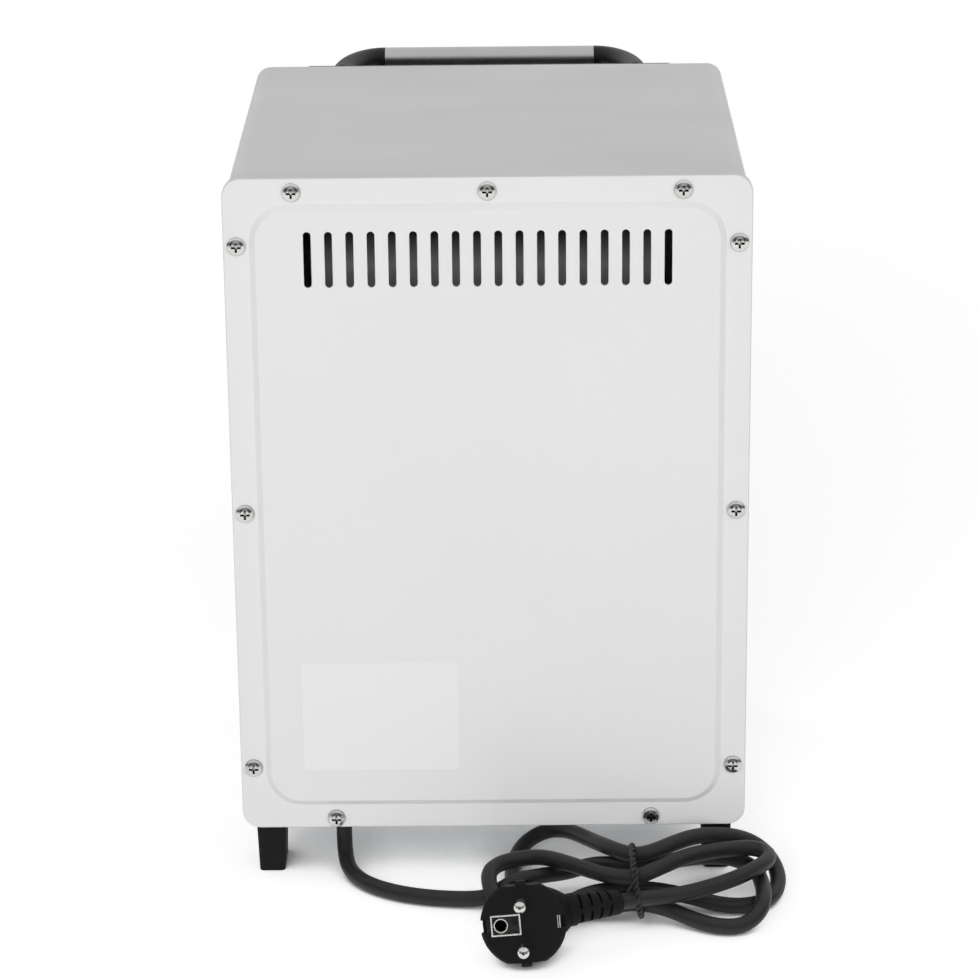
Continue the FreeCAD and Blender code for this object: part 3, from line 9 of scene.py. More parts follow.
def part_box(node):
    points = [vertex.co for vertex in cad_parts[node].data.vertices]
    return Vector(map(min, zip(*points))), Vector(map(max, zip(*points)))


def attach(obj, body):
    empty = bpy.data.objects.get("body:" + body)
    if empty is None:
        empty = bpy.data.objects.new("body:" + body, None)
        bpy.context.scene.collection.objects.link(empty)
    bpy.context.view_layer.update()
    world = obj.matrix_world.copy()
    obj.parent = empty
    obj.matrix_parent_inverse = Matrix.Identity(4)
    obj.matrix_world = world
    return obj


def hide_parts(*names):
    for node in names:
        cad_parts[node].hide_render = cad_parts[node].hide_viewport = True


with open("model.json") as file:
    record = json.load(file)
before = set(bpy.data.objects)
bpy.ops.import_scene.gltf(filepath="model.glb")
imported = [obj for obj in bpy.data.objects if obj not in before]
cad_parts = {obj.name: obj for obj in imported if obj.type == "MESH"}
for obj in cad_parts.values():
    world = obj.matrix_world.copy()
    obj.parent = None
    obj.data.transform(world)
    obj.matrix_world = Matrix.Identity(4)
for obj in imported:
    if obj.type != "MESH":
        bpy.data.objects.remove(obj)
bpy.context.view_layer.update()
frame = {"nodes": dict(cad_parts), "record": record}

# Infrared sterilizer seen from behind, in metres. The door faces -Y, the rear panel +Y.
scene = bpy.context.scene
nodes = frame["nodes"]
mm = 0.001
print("frame loaded with", len(nodes), "nodes")


# Camera

cameraPlace = {
    "target": Vector((0.33, 135.55, 181.73)) * mm,
    "distance": 1577.26 * mm,
    "yaw": 0.3981,
    "elevation": 19.5207,
    "roll": -0.6106,
    "lens": 135.33,
    "sensor": 36.0,
}


def placeCamera(place):
    turn = math.radians(180 + place["yaw"])
    rise = math.radians(place["elevation"])
    tilt = math.radians(place["roll"])
    back = Vector((math.sin(turn) * math.cos(rise), -math.cos(turn) * math.cos(rise), math.sin(rise)))
    level = Vector((math.cos(turn), math.sin(turn), 0))
    upright = back.cross(level)
    right = level * math.cos(tilt) + upright * math.sin(tilt)
    up = upright * math.cos(tilt) - level * math.sin(tilt)
    camera = bpy.data.objects.new("camera", bpy.data.cameras.new("camera"))
    camera.matrix_world = Matrix((right, up, back)).transposed().to_4x4()
    camera.location = place["target"] + back * place["distance"]
    camera.data.lens = place["lens"]
    camera.data.sensor_width = place["sensor"]
    scene.collection.objects.link(camera)
    scene.camera = camera


placeCamera(cameraPlace)
print("camera placed")


# Materials

occlusionSamples = 12
# Colour of the painted shade in metal recesses.
recessShadeColour = (0.008, 0.008, 0.008)
dustColour = (0.3, 0.3, 0.29)


class Signal:
    # A node's output. Sums and products of signals add Math nodes.
    def __init__(self, wiring, output):
        self.wiring = wiring
        self.output = output

    def maths(self, operation, first, second):
        return self.wiring.node("Math", {"operation": operation}, [first, second])

    def __add__(self, other):
        return self.maths("ADD", self, other)

    def __sub__(self, other):
        return self.maths("SUBTRACT", self, other)

    def __rsub__(self, other):
        return self.maths("SUBTRACT", other, self)

    def __mul__(self, other):
        return self.maths("MULTIPLY", self, other)

    def __lt__(self, other):
        return self.maths("LESS_THAN", self, other)

    def __gt__(self, other):
        return self.maths("GREATER_THAN", self, other)


class Wiring:
    # A node tree and the one way nodes are added to it.
    def __init__(self, owner):
        owner.use_nodes = True
        self.tree = owner.node_tree

    def node(self, kind, settings=None, inputs=(), output=0):
        made = self.tree.nodes.new("ShaderNode" + kind)
        for key, value in (settings or {}).items():
            if key == "stops":
                for element, (position, colour) in zip(made.color_ramp.elements, value):
                    element.position = position
                    element.color = colour
            else:
                setattr(made, key, value)
        pairs = inputs.items() if isinstance(inputs, dict) else enumerate(inputs)
        for key, value in pairs:
            if isinstance(value, Signal):
                self.tree.links.new(value.output, made.inputs[key])
            else:
                made.inputs[key].default_value = value
        return Signal(self, made.outputs[output])

    def larger(self, first, second):
        return self.node("Math", {"operation": "MAXIMUM"}, [first, second])


class Finish(Wiring):
    # One material: a Principled shader fed by what its methods make.
    def __init__(self, name, **constants):
        self.material = bpy.data.materials.new(name)
        super().__init__(self.material)
        self.shader = self.tree.nodes["Principled BSDF"]
        self.here = self.node("TexCoord", output="Object")
        self.feed(**constants)

    def feed(self, **values):
        # baseColor goes to the shader's socket Base Color, and so on.
        for key, value in values.items():
            title = "".join(" " + c if c.isupper() else c for c in key)
            socket = self.shader.inputs[(title[0].upper() + title[1:]).replace("I O R", "IOR")]
            if isinstance(value, Signal):
                self.tree.links.new(value.output, socket)
            elif socket.type == "RGBA":
                socket.default_value = (*value, 1)
            else:
                socket.default_value = value

    def stretched(self, x, y, z):
        return self.node("Mapping", {"vector_type": "TEXTURE"}, {0: self.here, "Scale": (x, y, z)})

    def turned(self, origin, turn):
        # Coordinates in the frame of a part that stands at origin, turned.
        return self.node("Mapping", {"vector_type": "TEXTURE"}, {0: self.here, "Location": origin, "Rotation": turn})

    def noise(self, scale, detail=3.0, roughness=0.55, where=None):
        inputs = {"Vector": where or self.here, "Scale": scale, "Detail": detail, "Roughness": roughness}
        return self.node("TexNoise", None, inputs, "Fac")

    def cells(self, scale, randomness=1.0, where=None, output="Distance"):
        inputs = {"Vector": where or self.here, "Scale": scale, "Randomness": randomness}
        return self.node("TexVoronoi", {"feature": "F1"}, inputs, output)

    def spread(self, value, low, high, bottom=0.0, top=1.0):
        return self.node("MapRange", None, [value, low, high, bottom, top])

    def mixed(self, mask, first, second):
        colours = [c if isinstance(c, Signal) else (*c, 1) for c in (first, second)]
        return self.node("Mix", {"data_type": "RGBA"}, {0: mask, 6: colours[0], 7: colours[1]}, 2)

    def axis(self, letter, where=None):
        return self.node("SeparateXYZ", None, [where or self.here], letter)

    def openness(self, reach):
        # 1 where nothing stands near, 0 where the surface is shut in.
        return self.node("AmbientOcclusion", {"samples": occlusionSamples}, {"Distance": reach}, "AO")

    def bump(self, height, depth, strength=1.0, under=None):
        inputs = {"Height": height, "Distance": depth, "Strength": strength}
        if under is not None:
            inputs["Normal"] = under
        return self.node("Bump", None, inputs)


def shade(colour, factor):
    return tuple(min(1.0, c * factor) for c in colour)


def bakedEnamel(name, look):
    # Sprayed and baked paint: orange peel, slow changes of tone and a few wiped patches.
    finish = Finish(name, coatRoughness=0.12, coatIOR=1.5)
    tone = finish.spread(finish.noise(9, 2), 0.35, 0.65)
    specks = finish.cells(160) < 0.018
    paint = finish.mixed(tone, shade(look["colour"], 0.985), look["colour"])
    finish.feed(baseColor=finish.mixed(specks * 0.35, paint, shade(look["colour"], 0.6)))
    wiped = finish.noise(22, 4, where=finish.stretched(2.5, 1, 1))
    finish.feed(roughness=finish.spread(wiped, 0.3, 0.7, look["roughness"] - 0.05, look["roughness"] + 0.07))
    finish.feed(coatWeight=finish.spread(wiped, 0.3, 0.7, 0.22, 0.12))
    peel = finish.noise(650, 2, 0.4)
    waves = finish.noise(18, 1)
    under = finish.bump(waves, 0.0006, 0.25)
    finish.feed(normal=finish.bump(peel, 0.00004, 0.55, under))
    return finish


def moulding(name, look):
    # Moulded plastic or rubber: a spark-eroded grain, soft sheen and a little dust.
    finish = Finish(name, specularIORLevel=look.get("shine", 0.5))
    grain = finish.noise(look["grain"], 3, 0.6)
    patches = finish.noise(30, 3)
    dust = finish.spread(finish.noise(420, 4, 0.7), 0.62, 0.8) * look.get("dust", 0.15)
    tone = finish.mixed(finish.spread(patches, 0.3, 0.7), shade(look["colour"], 0.85), shade(look["colour"], 1.2))
    finish.feed(baseColor=finish.mixed(dust, tone, dustColour))
    finish.feed(roughness=finish.spread(patches, 0.25, 0.75, look["roughness"] - 0.06, look["roughness"] + 0.08))
    finish.feed(normal=finish.bump(grain, look["grainDepth"], 0.5))
    if "coat" in look:
        finish.feed(coatWeight=finish.spread(patches, 0.3, 0.7, look["coat"], look["coat"] * 0.6))
    return finish


def metal(name, look):
    # Plated, drawn or brushed metal. stretch lengthens the scratches along one axis; the look's shade reach is how far
    # from a wall the metal is painted darker, as painted shade in its recesses.
    finish = Finish(name, metallic=1.0)
    along = finish.stretched(*look.get("stretch", (1, 1, 1)))
    scratches = finish.noise(look["scratches"], 4, 0.65, along)
    stains = finish.noise(45, 3)
    tone = finish.mixed(finish.spread(stains, 0.3, 0.7), look["colour"], shade(look["colour"], look.get("stain", 0.9)))
    # Painted shade: ambient occlusion darkens the metal towards near black in recesses and beside walls.
    if "grime" in look:
        exposed = finish.openness(look["grime"])
        tone = finish.mixed(finish.spread(exposed, look["grimeFrom"], look["grimeTo"]), recessShadeColour, tone)
    finish.feed(baseColor=tone)
    rough = finish.spread(scratches, 0.3, 0.7, look["roughness"] * 0.8, look["roughness"] * 1.25)
    finish.feed(roughness=rough + finish.spread(stains, 0.4, 0.75, 0.0, 0.06))
    finish.feed(normal=finish.bump(scratches, look["depth"], 0.4))
    return finish


def earthBrass(name, look):
    # Plated brass: painted shade where it lies deep in the plug, painted highlight on its partly metallic edges.
    finish = metal(name, look)
    where = finish.turned(look["origin"], look["turn"])
    across, depth = finish.axis("X", where), finish.axis("Y", where)
    # Painted shade covers the deep plate and the middle of the clip, a little uneven.
    plate = (depth < -look["edge"]) * (across > 0)
    clip = (across > -look["clipMiddle"] - look["clipDull"]) * (across < look["clipDull"] - look["clipMiddle"])
    shadeVariation = finish.spread(finish.noise(300, 3), 0.35, 0.7, 0.9, 1.0)
    dull = finish.larger(plate, clip) * shadeVariation
    finish.feed(baseColor=finish.mixed(dull, look["colour"], look["dull"]))
    # Painted highlight: the edges are only partly metallic, so they stay pale whatever they reflect.
    finish.feed(metallic=finish.spread(dull, 0, 1, look["edgeMetal"], 1.0))
    return finish


def zincSheet(name, look):
    # Hot-dip zinc: crystals that each catch the light their own way.
    finish = Finish(name, metallic=1.0)
    spangle = finish.axis("X", finish.cells(130, output="Color"))
    finish.feed(baseColor=finish.mixed(spangle, look["colour"], shade(look["colour"], 1.25)))
    finish.feed(roughness=finish.spread(spangle, 0, 1, look["roughness"] - 0.1, look["roughness"] + 0.08))
    finish.feed(normal=finish.bump(finish.noise(400, 3), 0.00004, 0.4))
    return finish


def ceramicWool(name, look):
    # Matted fibres, grey, with a painted shadow that turns them nearly black towards the top, where the rear panel
    # shades them.
    finish = Finish(name, roughness=0.95, specularIORLevel=0.1)
    fibres = finish.noise(260, 6, 0.75, finish.stretched(1, 3, 1))
    tufts = finish.noise(70, 4)
    unshadedWool = finish.mixed(tufts, shade(look["colour"], 0.82), look["colour"])
    # Painted shadow: darker above a set height, for the shade cast through the rear panel's slots.
    slotShadow = finish.spread(finish.axis("Z") + (tufts - 0.5) * 0.006, look["scorchFrom"], look["scorchTo"])
    finish.feed(baseColor=finish.mixed(slotShadow, unshadedWool, look["scorched"]))
    finish.feed(normal=finish.bump(fibres * 0.6 + tufts, 0.0008, 0.8))
    return finish


def quartzTube(name, look):
    # Drawn milky quartz: clear enough to show the coil, with faint draw lines.
    finish = Finish(name, iOR=1.46)
    lines = finish.noise(900, 2, 0.5, finish.stretched(40, 1, 1))
    finish.feed(baseColor=finish.mixed(lines, look["colour"], shade(look["colour"], 0.9)))
    finish.feed(alpha=finish.spread(lines, 0.3, 0.7, look["alpha"] - 0.07, look["alpha"] + 0.08))
    finish.feed(roughness=finish.spread(lines, 0.3, 0.7, 0.12, 0.24), coatWeight=0.4)
    return finish


def doorGlass(name, look):
    # Smoked toughened glass with a black printed border that fades out in dots.
    finish = Finish(name, iOR=1.5)
    x = finish.node("Math", {"operation": "ABSOLUTE"}, [finish.axis("X")])
    z = finish.node("Math", {"operation": "ABSOLUTE"}, [finish.axis("Z") - look["middleZ"]])
    edge = finish.larger(x - look["halfWidth"], z - look["halfHeight"])
    dots = finish.cells(900, 0.0, finish.stretched(1, 1000, 1))
    band = finish.spread(edge, -look["fade"], 0)
    border = (edge > 0) + (dots < band * 0.75) * (edge < 0)
    printed = finish.node("Math", {"operation": "MINIMUM"}, [border, 1.0])
    smears = finish.noise(14, 4)
    finish.feed(baseColor=finish.mixed(printed, look["colour"], (0.012, 0.012, 0.012)))
    finish.feed(alpha=printed * (0.98 - look["alpha"]) + look["alpha"])
    finish.feed(roughness=finish.spread(smears, 0.35, 0.75, 0.03, 0.1), coatWeight=1.0, coatRoughness=0.02)
    return finish


def lampLens(name, look):
    # Clear coloured cap over a faceted reflector, whose glints are a painted reflection: each facet lighter towards
    # its rim.
    finish = Finish(name, coatWeight=1.0, coatRoughness=0.04)
    facetsAndGlints = finish.cells(900)
    # Painted reflection: the colour is up to 1.9 times lighter towards each facet's rim.
    finish.feed(baseColor=finish.mixed(facetsAndGlints, look["colour"], shade(look["colour"], 1.9)))
    finish.feed(roughness=finish.spread(facetsAndGlints, 0, 1, 0.12, 0.3))
    finish.feed(normal=finish.bump(facetsAndGlints, 0.00015, 0.6))
    return finish


def heatingWire(name, look):
    # Resistance wire with blue and brown temper colours.
    finish = metal(name, look)
    temper = finish.noise(90, 2)
    blued = finish.mixed(finish.spread(temper, 0.35, 0.65), look["colour"], (0.16, 0.17, 0.22))
    finish.feed(baseColor=blued)
    return finish


def glazedCeramic(name, look):
    finish = Finish(name, coatWeight=0.7, coatRoughness=0.08, roughness=0.35)
    # Small scattered specks, darker in colour.
    darkSpecks = finish.cells(300) < 0.05
    finish.feed(baseColor=finish.mixed(darkSpecks * 0.5, look["colour"], shade(look["colour"], 0.7)))
    finish.feed(normal=finish.bump(finish.noise(60, 2), 0.0003, 0.3))
    return finish


def stickerPaper(name, look):
    # Coated label paper with a faint weave of fibres and slight wrinkles.
    finish = Finish(name)
    fibres = finish.noise(1500, 5, 0.7)
    finish.feed(baseColor=finish.mixed(finish.spread(fibres, 0.35, 0.65), look["colour"], shade(look["colour"], 0.97)))
    finish.feed(roughness=finish.spread(fibres, 0.3, 0.7, 0.42, 0.55))
    wrinkles = finish.noise(40, 2, where=finish.stretched(1, 1, 3))
    finish.feed(normal=finish.bump(fibres, 0.00002, 0.5, finish.bump(wrinkles, 0.00035, 0.35)))
    return finish


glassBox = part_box("door_glass")

# How the plug lies: the middle of its face, and its turns about Z, X and Y in that order.
plugLie = {"face": Vector((-12.55, 225.67, 19.68)) * mm, "yaw": -2.6, "tilt": 17.9, "roll": 5.2}


def turnOf(lie):
    yaw, tilt, roll = (Matrix.Rotation(math.radians(lie[part]), 3, axis)
                       for part, axis in (("yaw", "Z"), ("tilt", "X"), ("roll", "Y")))
    return (yaw @ tilt @ roll).to_euler()


finishes = {
    "case_paint": (bakedEnamel, {"colour": (0.8, 0.8, 0.795), "roughness": 0.36}),
    "zinc_sheet": (zincSheet, {"colour": (0.52, 0.54, 0.56), "roughness": 0.42}),
    "stainless": (metal, {"colour": (0.62, 0.61, 0.6), "roughness": 0.3, "scratches": 500,
                          "stretch": (1, 14, 1), "depth": 0.00002, "stain": 0.88}),
    "screw_nickel": (metal, {"colour": (0.74, 0.735, 0.72), "roughness": 0.2, "scratches": 900, "depth": 0.00003,
                             "stain": 0.75, "grime": 0.0014, "grimeFrom": 0.45, "grimeTo": 0.85}),
    "foot_black": (moulding, {"colour": (0.0075, 0.0075, 0.0075), "roughness": 0.72, "grain": 1200,
                              "grainDepth": 0.00006, "dust": 0.06, "shine": 0.22}),
    "ceramic_wool": (ceramicWool, {"colour": (0.4, 0.395, 0.385), "scorched": (0.05, 0.05, 0.049),
                                   "scorchFrom": 0.271, "scorchTo": 0.285}),
    "seal_silicone": (moulding, {"colour": (0.3, 0.05, 0.035), "roughness": 0.6, "grain": 700,
                                 "grainDepth": 0.00004, "dust": 0.1}),
    "quartz": (quartzTube, {"colour": (0.86, 0.86, 0.84), "alpha": 0.42}),
    "coil_wire": (heatingWire, {"colour": (0.24, 0.21, 0.19), "roughness": 0.45, "scratches": 700,
                                "depth": 0.00003}),
    "ceramic": (glazedCeramic, {"colour": (0.84, 0.82, 0.76)}),
    "rack_chrome": (metal, {"colour": (0.72, 0.72, 0.72), "roughness": 0.16, "scratches": 500,
                            "stretch": (1, 8, 1), "depth": 0.00002}),
    "hinge_steel": (metal, {"colour": (0.5, 0.5, 0.5), "roughness": 0.34, "scratches": 600,
                            "stretch": (8, 1, 1), "depth": 0.00003, "stain": 0.8}),
    "catch_plastic": (moulding, {"colour": (0.03, 0.03, 0.03), "roughness": 0.5, "grain": 900,
                                 "grainDepth": 0.00004}),
    "switch_plastic": (moulding, {"colour": (0.62, 0.56, 0.44), "roughness": 0.45, "grain": 500,
                                  "grainDepth": 0.00003, "dust": 0.05}),
    "capillary_copper": (metal, {"colour": (0.75, 0.42, 0.27), "roughness": 0.28, "scratches": 400,
                                 "depth": 0.00003, "stain": 0.7}),
    "lamp_green": (lampLens, {"colour": (0.03, 0.42, 0.1)}),
    "lamp_red": (lampLens, {"colour": (0.55, 0.03, 0.02)}),
    "terminal_nylon": (moulding, {"colour": (0.78, 0.78, 0.74), "roughness": 0.4, "grain": 400,
                                  "grainDepth": 0.00003, "dust": 0.04}),
    "cord_black": (moulding, {"colour": (0.0145, 0.0145, 0.015), "roughness": 0.46, "grain": 1500,
                              "grainDepth": 0.00005, "dust": 0.05, "shine": 0.36}),
    "gland_black": (moulding, {"colour": (0.01, 0.01, 0.01), "roughness": 0.45, "grain": 900,
                               "grainDepth": 0.00003}),
    "plug_black": (moulding, {"colour": (0.0062, 0.0062, 0.0066), "roughness": 0.6, "grain": 1300,
                              "grainDepth": 0.00009, "dust": 0.03, "shine": 0.16}),
    "pin_nickel": (metal, {"colour": (0.74, 0.73, 0.7), "roughness": 0.18, "scratches": 700,
                           "stretch": (1, 6, 1), "depth": 0.00003}),
    "earth_brass": (earthBrass, {"colour": (0.74, 0.73, 0.7), "dull": (0.06, 0.06, 0.058), "roughness": 0.22,
                                 "scratches": 700, "depth": 0.00003, "origin": plugLie["face"],
                                 "turn": turnOf(plugLie), "edge": 0.0004, "clipMiddle": 0.01495,
                                 "clipDull": 0.00026, "edgeMetal": 0.35}),
    "door_black": (moulding, {"colour": (0.01, 0.01, 0.01), "roughness": 0.5, "grain": 700,
                              "grainDepth": 0.00004}),
    "door_glass": (doorGlass, {"colour": (0.05, 0.05, 0.055), "alpha": 0.42, "fade": 0.006,
                               "middleZ": (glassBox[0].z + glassBox[1].z) / 2, "halfWidth": 0.0575,
                               "halfHeight": 0.063}),
    "handle_chrome": (metal, {"colour": (0.46, 0.46, 0.46), "roughness": 0.26, "scratches": 1500,
                              "stretch": (60, 1, 1), "depth": 0.000004, "stain": 0.95}),
    "handle_black": (moulding, {"colour": (0.006, 0.006, 0.006), "roughness": 0.42, "grain": 600,
                                "grainDepth": 0.00003, "dust": 0.03, "shine": 0.25}),
    "knob_black": (moulding, {"colour": (0.02, 0.02, 0.02), "roughness": 0.38, "grain": 900,
                              "grainDepth": 0.00004, "coat": 0.1}),
    "shaft_alloy": (metal, {"colour": (0.66, 0.66, 0.65), "roughness": 0.3, "scratches": 900, "depth": 0.00003}),
    "label_paper": (stickerPaper, {"colour": (0.86, 0.86, 0.855)}),
    "dial_ink": (moulding, {"colour": (0.06, 0.06, 0.065), "roughness": 0.5, "grain": 1500,
                            "grainDepth": 0.00001, "dust": 0.05}),
    "pointer_paint": (moulding, {"colour": (0.8, 0.8, 0.78), "roughness": 0.4, "grain": 900,
                                 "grainDepth": 0.00002, "dust": 0.05}),
}
materials = {name: make(name, look).material for name, (make, look) in finishes.items()}

ownFinish = {"plug_earth_contacts": "earth_brass"}
for subpart in frame["record"]["subparts"]:
    dressed = nodes[subpart["node"]]
    dressed.data.materials.clear()
    dressed.data.materials.append(materials[ownFinish.get(subpart["node"], subpart["material_slot"])])
print("materials made:", len(materials))


# Helpers for new pieces

def finishedPiece(name, shape, slot, body="cabinet", smooth=True):
    shape.normal_update()
    mesh = bpy.data.meshes.new(name)
    shape.to_mesh(mesh)
    shape.free()
    for face in mesh.polygons:
        face.use_smooth = smooth
    mesh.materials.append(materials[slot])
    piece = bpy.data.objects.new(name, mesh)
    scene.collection.objects.link(piece)
    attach(piece, body)
    return piece


tubeRounding = 2


def tubeMesh(path, radius, closed=False):
    # A round tube along a path that is worked out point by point, as a mesh.
    line = bpy.data.curves.new("tube", "CURVE")
    line.dimensions = "3D"
    line.bevel_depth = radius
    line.bevel_resolution = tubeRounding
    line.use_fill_caps = not closed
    spline = line.splines.new("POLY")
    spline.points.add(len(path) - 1)
    for point, place in zip(spline.points, path):
        point.co = (*place, 1)
    spline.use_cyclic_u = closed
    holder = bpy.data.objects.new("tube", line)
    scene.collection.objects.link(holder)
    bpy.context.view_layer.update()
    mesh = bpy.data.meshes.new_from_object(holder.evaluated_get(bpy.context.evaluated_depsgraph_get()))
    bpy.data.objects.remove(holder)
    return mesh


# Mains cord: out of the gland, along the table, and six times through the tie on its way to the plug

mainsCord = {
    "diameter": 7.0 * mm,
    "rounding": 5,
    "stepsPerPoint": 8,
    "route": [
        # down from the gland and along the table
        (67, 121.55, 22.5), (67, 121.55, 14.6), (66.5, 127.3, 7.6), (65, 135.2, 4.4), (61.3, 144.4, 3.7),
        (53.6, 154.2, 3.7), (42.2, 161.6, 3.7), (28.6, 166.2, 3.7), (13.5, 168.2, 3.7), (2, 168.5, 4.6),
        (-9.5, 166.5, 12.0),
        # under the near loop, up through the tie
        (-20.5, 160.0, 10.9), (-32, 152.5, 8.8), (-42, 150.5, 11.4), (-50, 155.5, 14.2), (-57.5, 161.8, 16.6),
        # first right loop, low in front, back through the tie
        (-66, 164.0, 17.6), (-74.5, 159.5, 16.6), (-83.5, 151.0, 14.2), (-94, 142.5, 11.4),
        (-103.5, 140.0, 9.7), (-111.5, 146.0, 9.5), (-115.5, 157.0, 10.5), (-116.5, 169.0, 11.4),
        (-117.0, 181.0, 11.2), (-115, 190.5, 8.0), (-108, 196.5, 4.0), (-98, 197.5, 3.7), (-87, 192.5, 4.3),
        (-75, 184.0, 6.3), (-62, 181.5, 8.3), (-50, 181.5, 6.2),
        # round the far left loop on the table
        (-38, 180.5, 3.8), (-25, 177.5, 3.7), (-15.5, 171.5, 3.7), (-9.8, 160.5, 3.7), (-7.8, 147.0, 3.7),
        (-8.6, 133.0, 4.0), (-11, 121.5, 4.8), (-15.5, 113.0, 6.5), (-23, 109.5, 9.0), (-30.5, 114.0, 11.8),
        (-36.5, 125.0, 15.0), (-42, 138.5, 18.2), (-48.5, 152.5, 21.6), (-55, 162.8, 23.4), (-62, 168.0, 24.0),
        # outer loop on the far right, back along the table
        (-70, 166.5, 25.2), (-78.5, 159.5, 25.8), (-87.5, 151.0, 25.0), (-97, 143.5, 22.4),
        (-109, 137.0, 18.2), (-118.5, 138.0, 13.5), (-124.5, 146.5, 8.3), (-125, 159.0, 4.8),
        (-120, 171.0, 3.7), (-110, 177.0, 3.7), (-98, 176.0, 3.9), (-86, 173.5, 6.5), (-74, 172.5, 9.2),
        (-62, 173.2, 10.8), (-51, 175.5, 11.4), (-41, 180.5, 12.0),
        # behind the plug, over the lead and round the near left loop
        (-31, 187.0, 10.0), (-20, 190.5, 5.5), (-8, 189.0, 4.6), (0.5, 179.0, 10.2), (3, 165.5, 14.3),
        (-1.5, 155.5, 14.5), (-10.5, 150.5, 14.6), (-21, 153.0, 16.8), (-31, 161.5, 18.0),
        (-42, 171.8, 18.6), (-52, 178.8, 18.9), (-62, 180.8, 19.6),
        # third right loop, over the rest, to the plug
        (-72, 175.5, 21.8), (-84, 165.0, 22.2), (-95, 156.5, 20.4), (-104.5, 151.5, 19.2), (-113, 148.5, 18.3),
        (-119.5, 152.0, 18.0), (-120.5, 161.0, 18.5), (-114.5, 170.5, 18.8), (-105, 178.0, 17.6),
        (-93.5, 182.5, 15.6), (-79.5, 187.0, 14.0), (-63.8, 190.5, 14.45), (-52.5, 199.0, 16.6),
    ],
}


def makeCord(cord):
    line = bpy.data.curves.new("power_cord", "CURVE")
    line.dimensions = "3D"
    spline = line.splines.new("NURBS")
    spline.points.add(len(cord["route"]) - 1)
    for point, place in zip(spline.points, cord["route"]):
        point.co = (*(Vector(place) * mm), 1)
    spline.order_u = 3
    spline.use_endpoint_u = True
    spline.resolution_u = cord["stepsPerPoint"]
    line.bevel_depth = cord["diameter"] / 2
    line.bevel_resolution = cord["rounding"]
    line.use_fill_caps = True
    line.materials.append(materials["cord_black"])
    piece = bpy.data.objects.new("power_cord", line)
    scene.collection.objects.link(piece)
    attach(piece, "cabinet")
    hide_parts("power_cord_lead", "power_cord_hank", "power_cord_tail")
    return piece


powerCord = makeCord(mainsCord)
print("cord laid")


# Wire tie round the hank: two coated wires wound together, twisted off on top

cordTie = {
    "x": -61.8 * mm,
    "middle": Vector((176.9, 16.2)) * mm,
    "reach": Vector((18.6, 12.9)) * mm,
    "squareness": 2.5,
    "tilt": 0.3,
    "wire": 0.72 * mm,
    "lay": 0.74 * mm,
    "turns": 17,
    "steps": 260,
    "knotPlace": Vector((-62.0, 184.2, 24.2)) * mm,
    "knotTurns": 2.0,
    "knotLength": 4.6 * mm,
    "knotSteps": 60,
    "knotOut": Vector((0.35, 1.0, 0.1)).normalized(),
    "knotSag": 1.2 * mm,
    "endLength": 6.5 * mm,
    "endDrop": Vector((0.1, 0.62, -0.8)).normalized(),
    "endLeans": (-2.8 * mm, 2.2 * mm),
    "endSteps": 12,
    "sightAhead": 0.004,
    "acrossFrom": Vector((1, 0, 0.2)),
}


def tieLoop(tie, share):
    # A rounded loop round the strands, leaning a little along the cord.
    angle = 2 * math.pi * share
    power = 2 / tie["squareness"]
    side, rise = math.cos(angle), math.sin(angle)
    y = math.copysign(abs(side) ** power, side) * tie["reach"].x
    z = math.copysign(abs(rise) ** power, rise) * tie["reach"].y
    return Vector((tie["x"] + tie["tilt"] * z * 0.5, tie["middle"].x + y, tie["middle"].y + z))


def woundPair(tie, centre, turns, steps, closed):
    shapes = []
    for strand in (0, math.pi):
        path = []
        for step in range(steps + (0 if closed else 1)):
            share = step / steps
            here = centre(share)
            ahead = (centre(share + tie["sightAhead"]) - here).normalized()
            across = ahead.cross(tie["acrossFrom"]).normalized()
            lift = ahead.cross(across)
            turn = 2 * math.pi * turns * share + strand
            path.append(here + (across * math.cos(turn) + lift * math.sin(turn)) * tie["lay"])
        shapes.append(tubeMesh(path, tie["wire"], closed))
    return shapes


def makeTie(tie):
    def knot(share):
        sag = Vector((0, 0, share * share * tie["knotSag"]))
        return tie["knotPlace"] + tie["knotOut"] * (share * tie["knotLength"]) - sag

    meshes = woundPair(tie, lambda share: tieLoop(tie, share), tie["turns"], tie["steps"], True)
    meshes += woundPair(tie, knot, tie["knotTurns"], tie["knotSteps"], False)
    tip = knot(1.0)
    shares = [step / tie["endSteps"] for step in range(tie["endSteps"] + 1)]
    for lean in tie["endLeans"]:
        bent = [tip + tie["endDrop"] * (tie["endLength"] * share) + Vector((lean * share ** 2, 0, 0))
                for share in shares]
        meshes.append(tubeMesh(bent, tie["wire"]))
    shape = bmesh.new()
    for mesh in meshes:
        shape.from_mesh(mesh)
    piece = finishedPiece("wire_tie", shape, "gland_black")
    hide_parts("cord_tie")
    return piece


wireTie = makeTie(cordTie)
print("tie wound")


# Bare sticker on the rear panel

label = {
    "left": 15.0 * mm,
    "right": 83.0 * mm,
    "bottom": 52.0 * mm,
    "top": 102.5 * mm,
    "trim": 0.9 * mm,
    "thickness": 0.12 * mm,
    "curl": 0.25 * mm,
    "curlFrom": 1.75,
    "curlGain": 2,
    "columns": 34,
    "rows": 25,
}


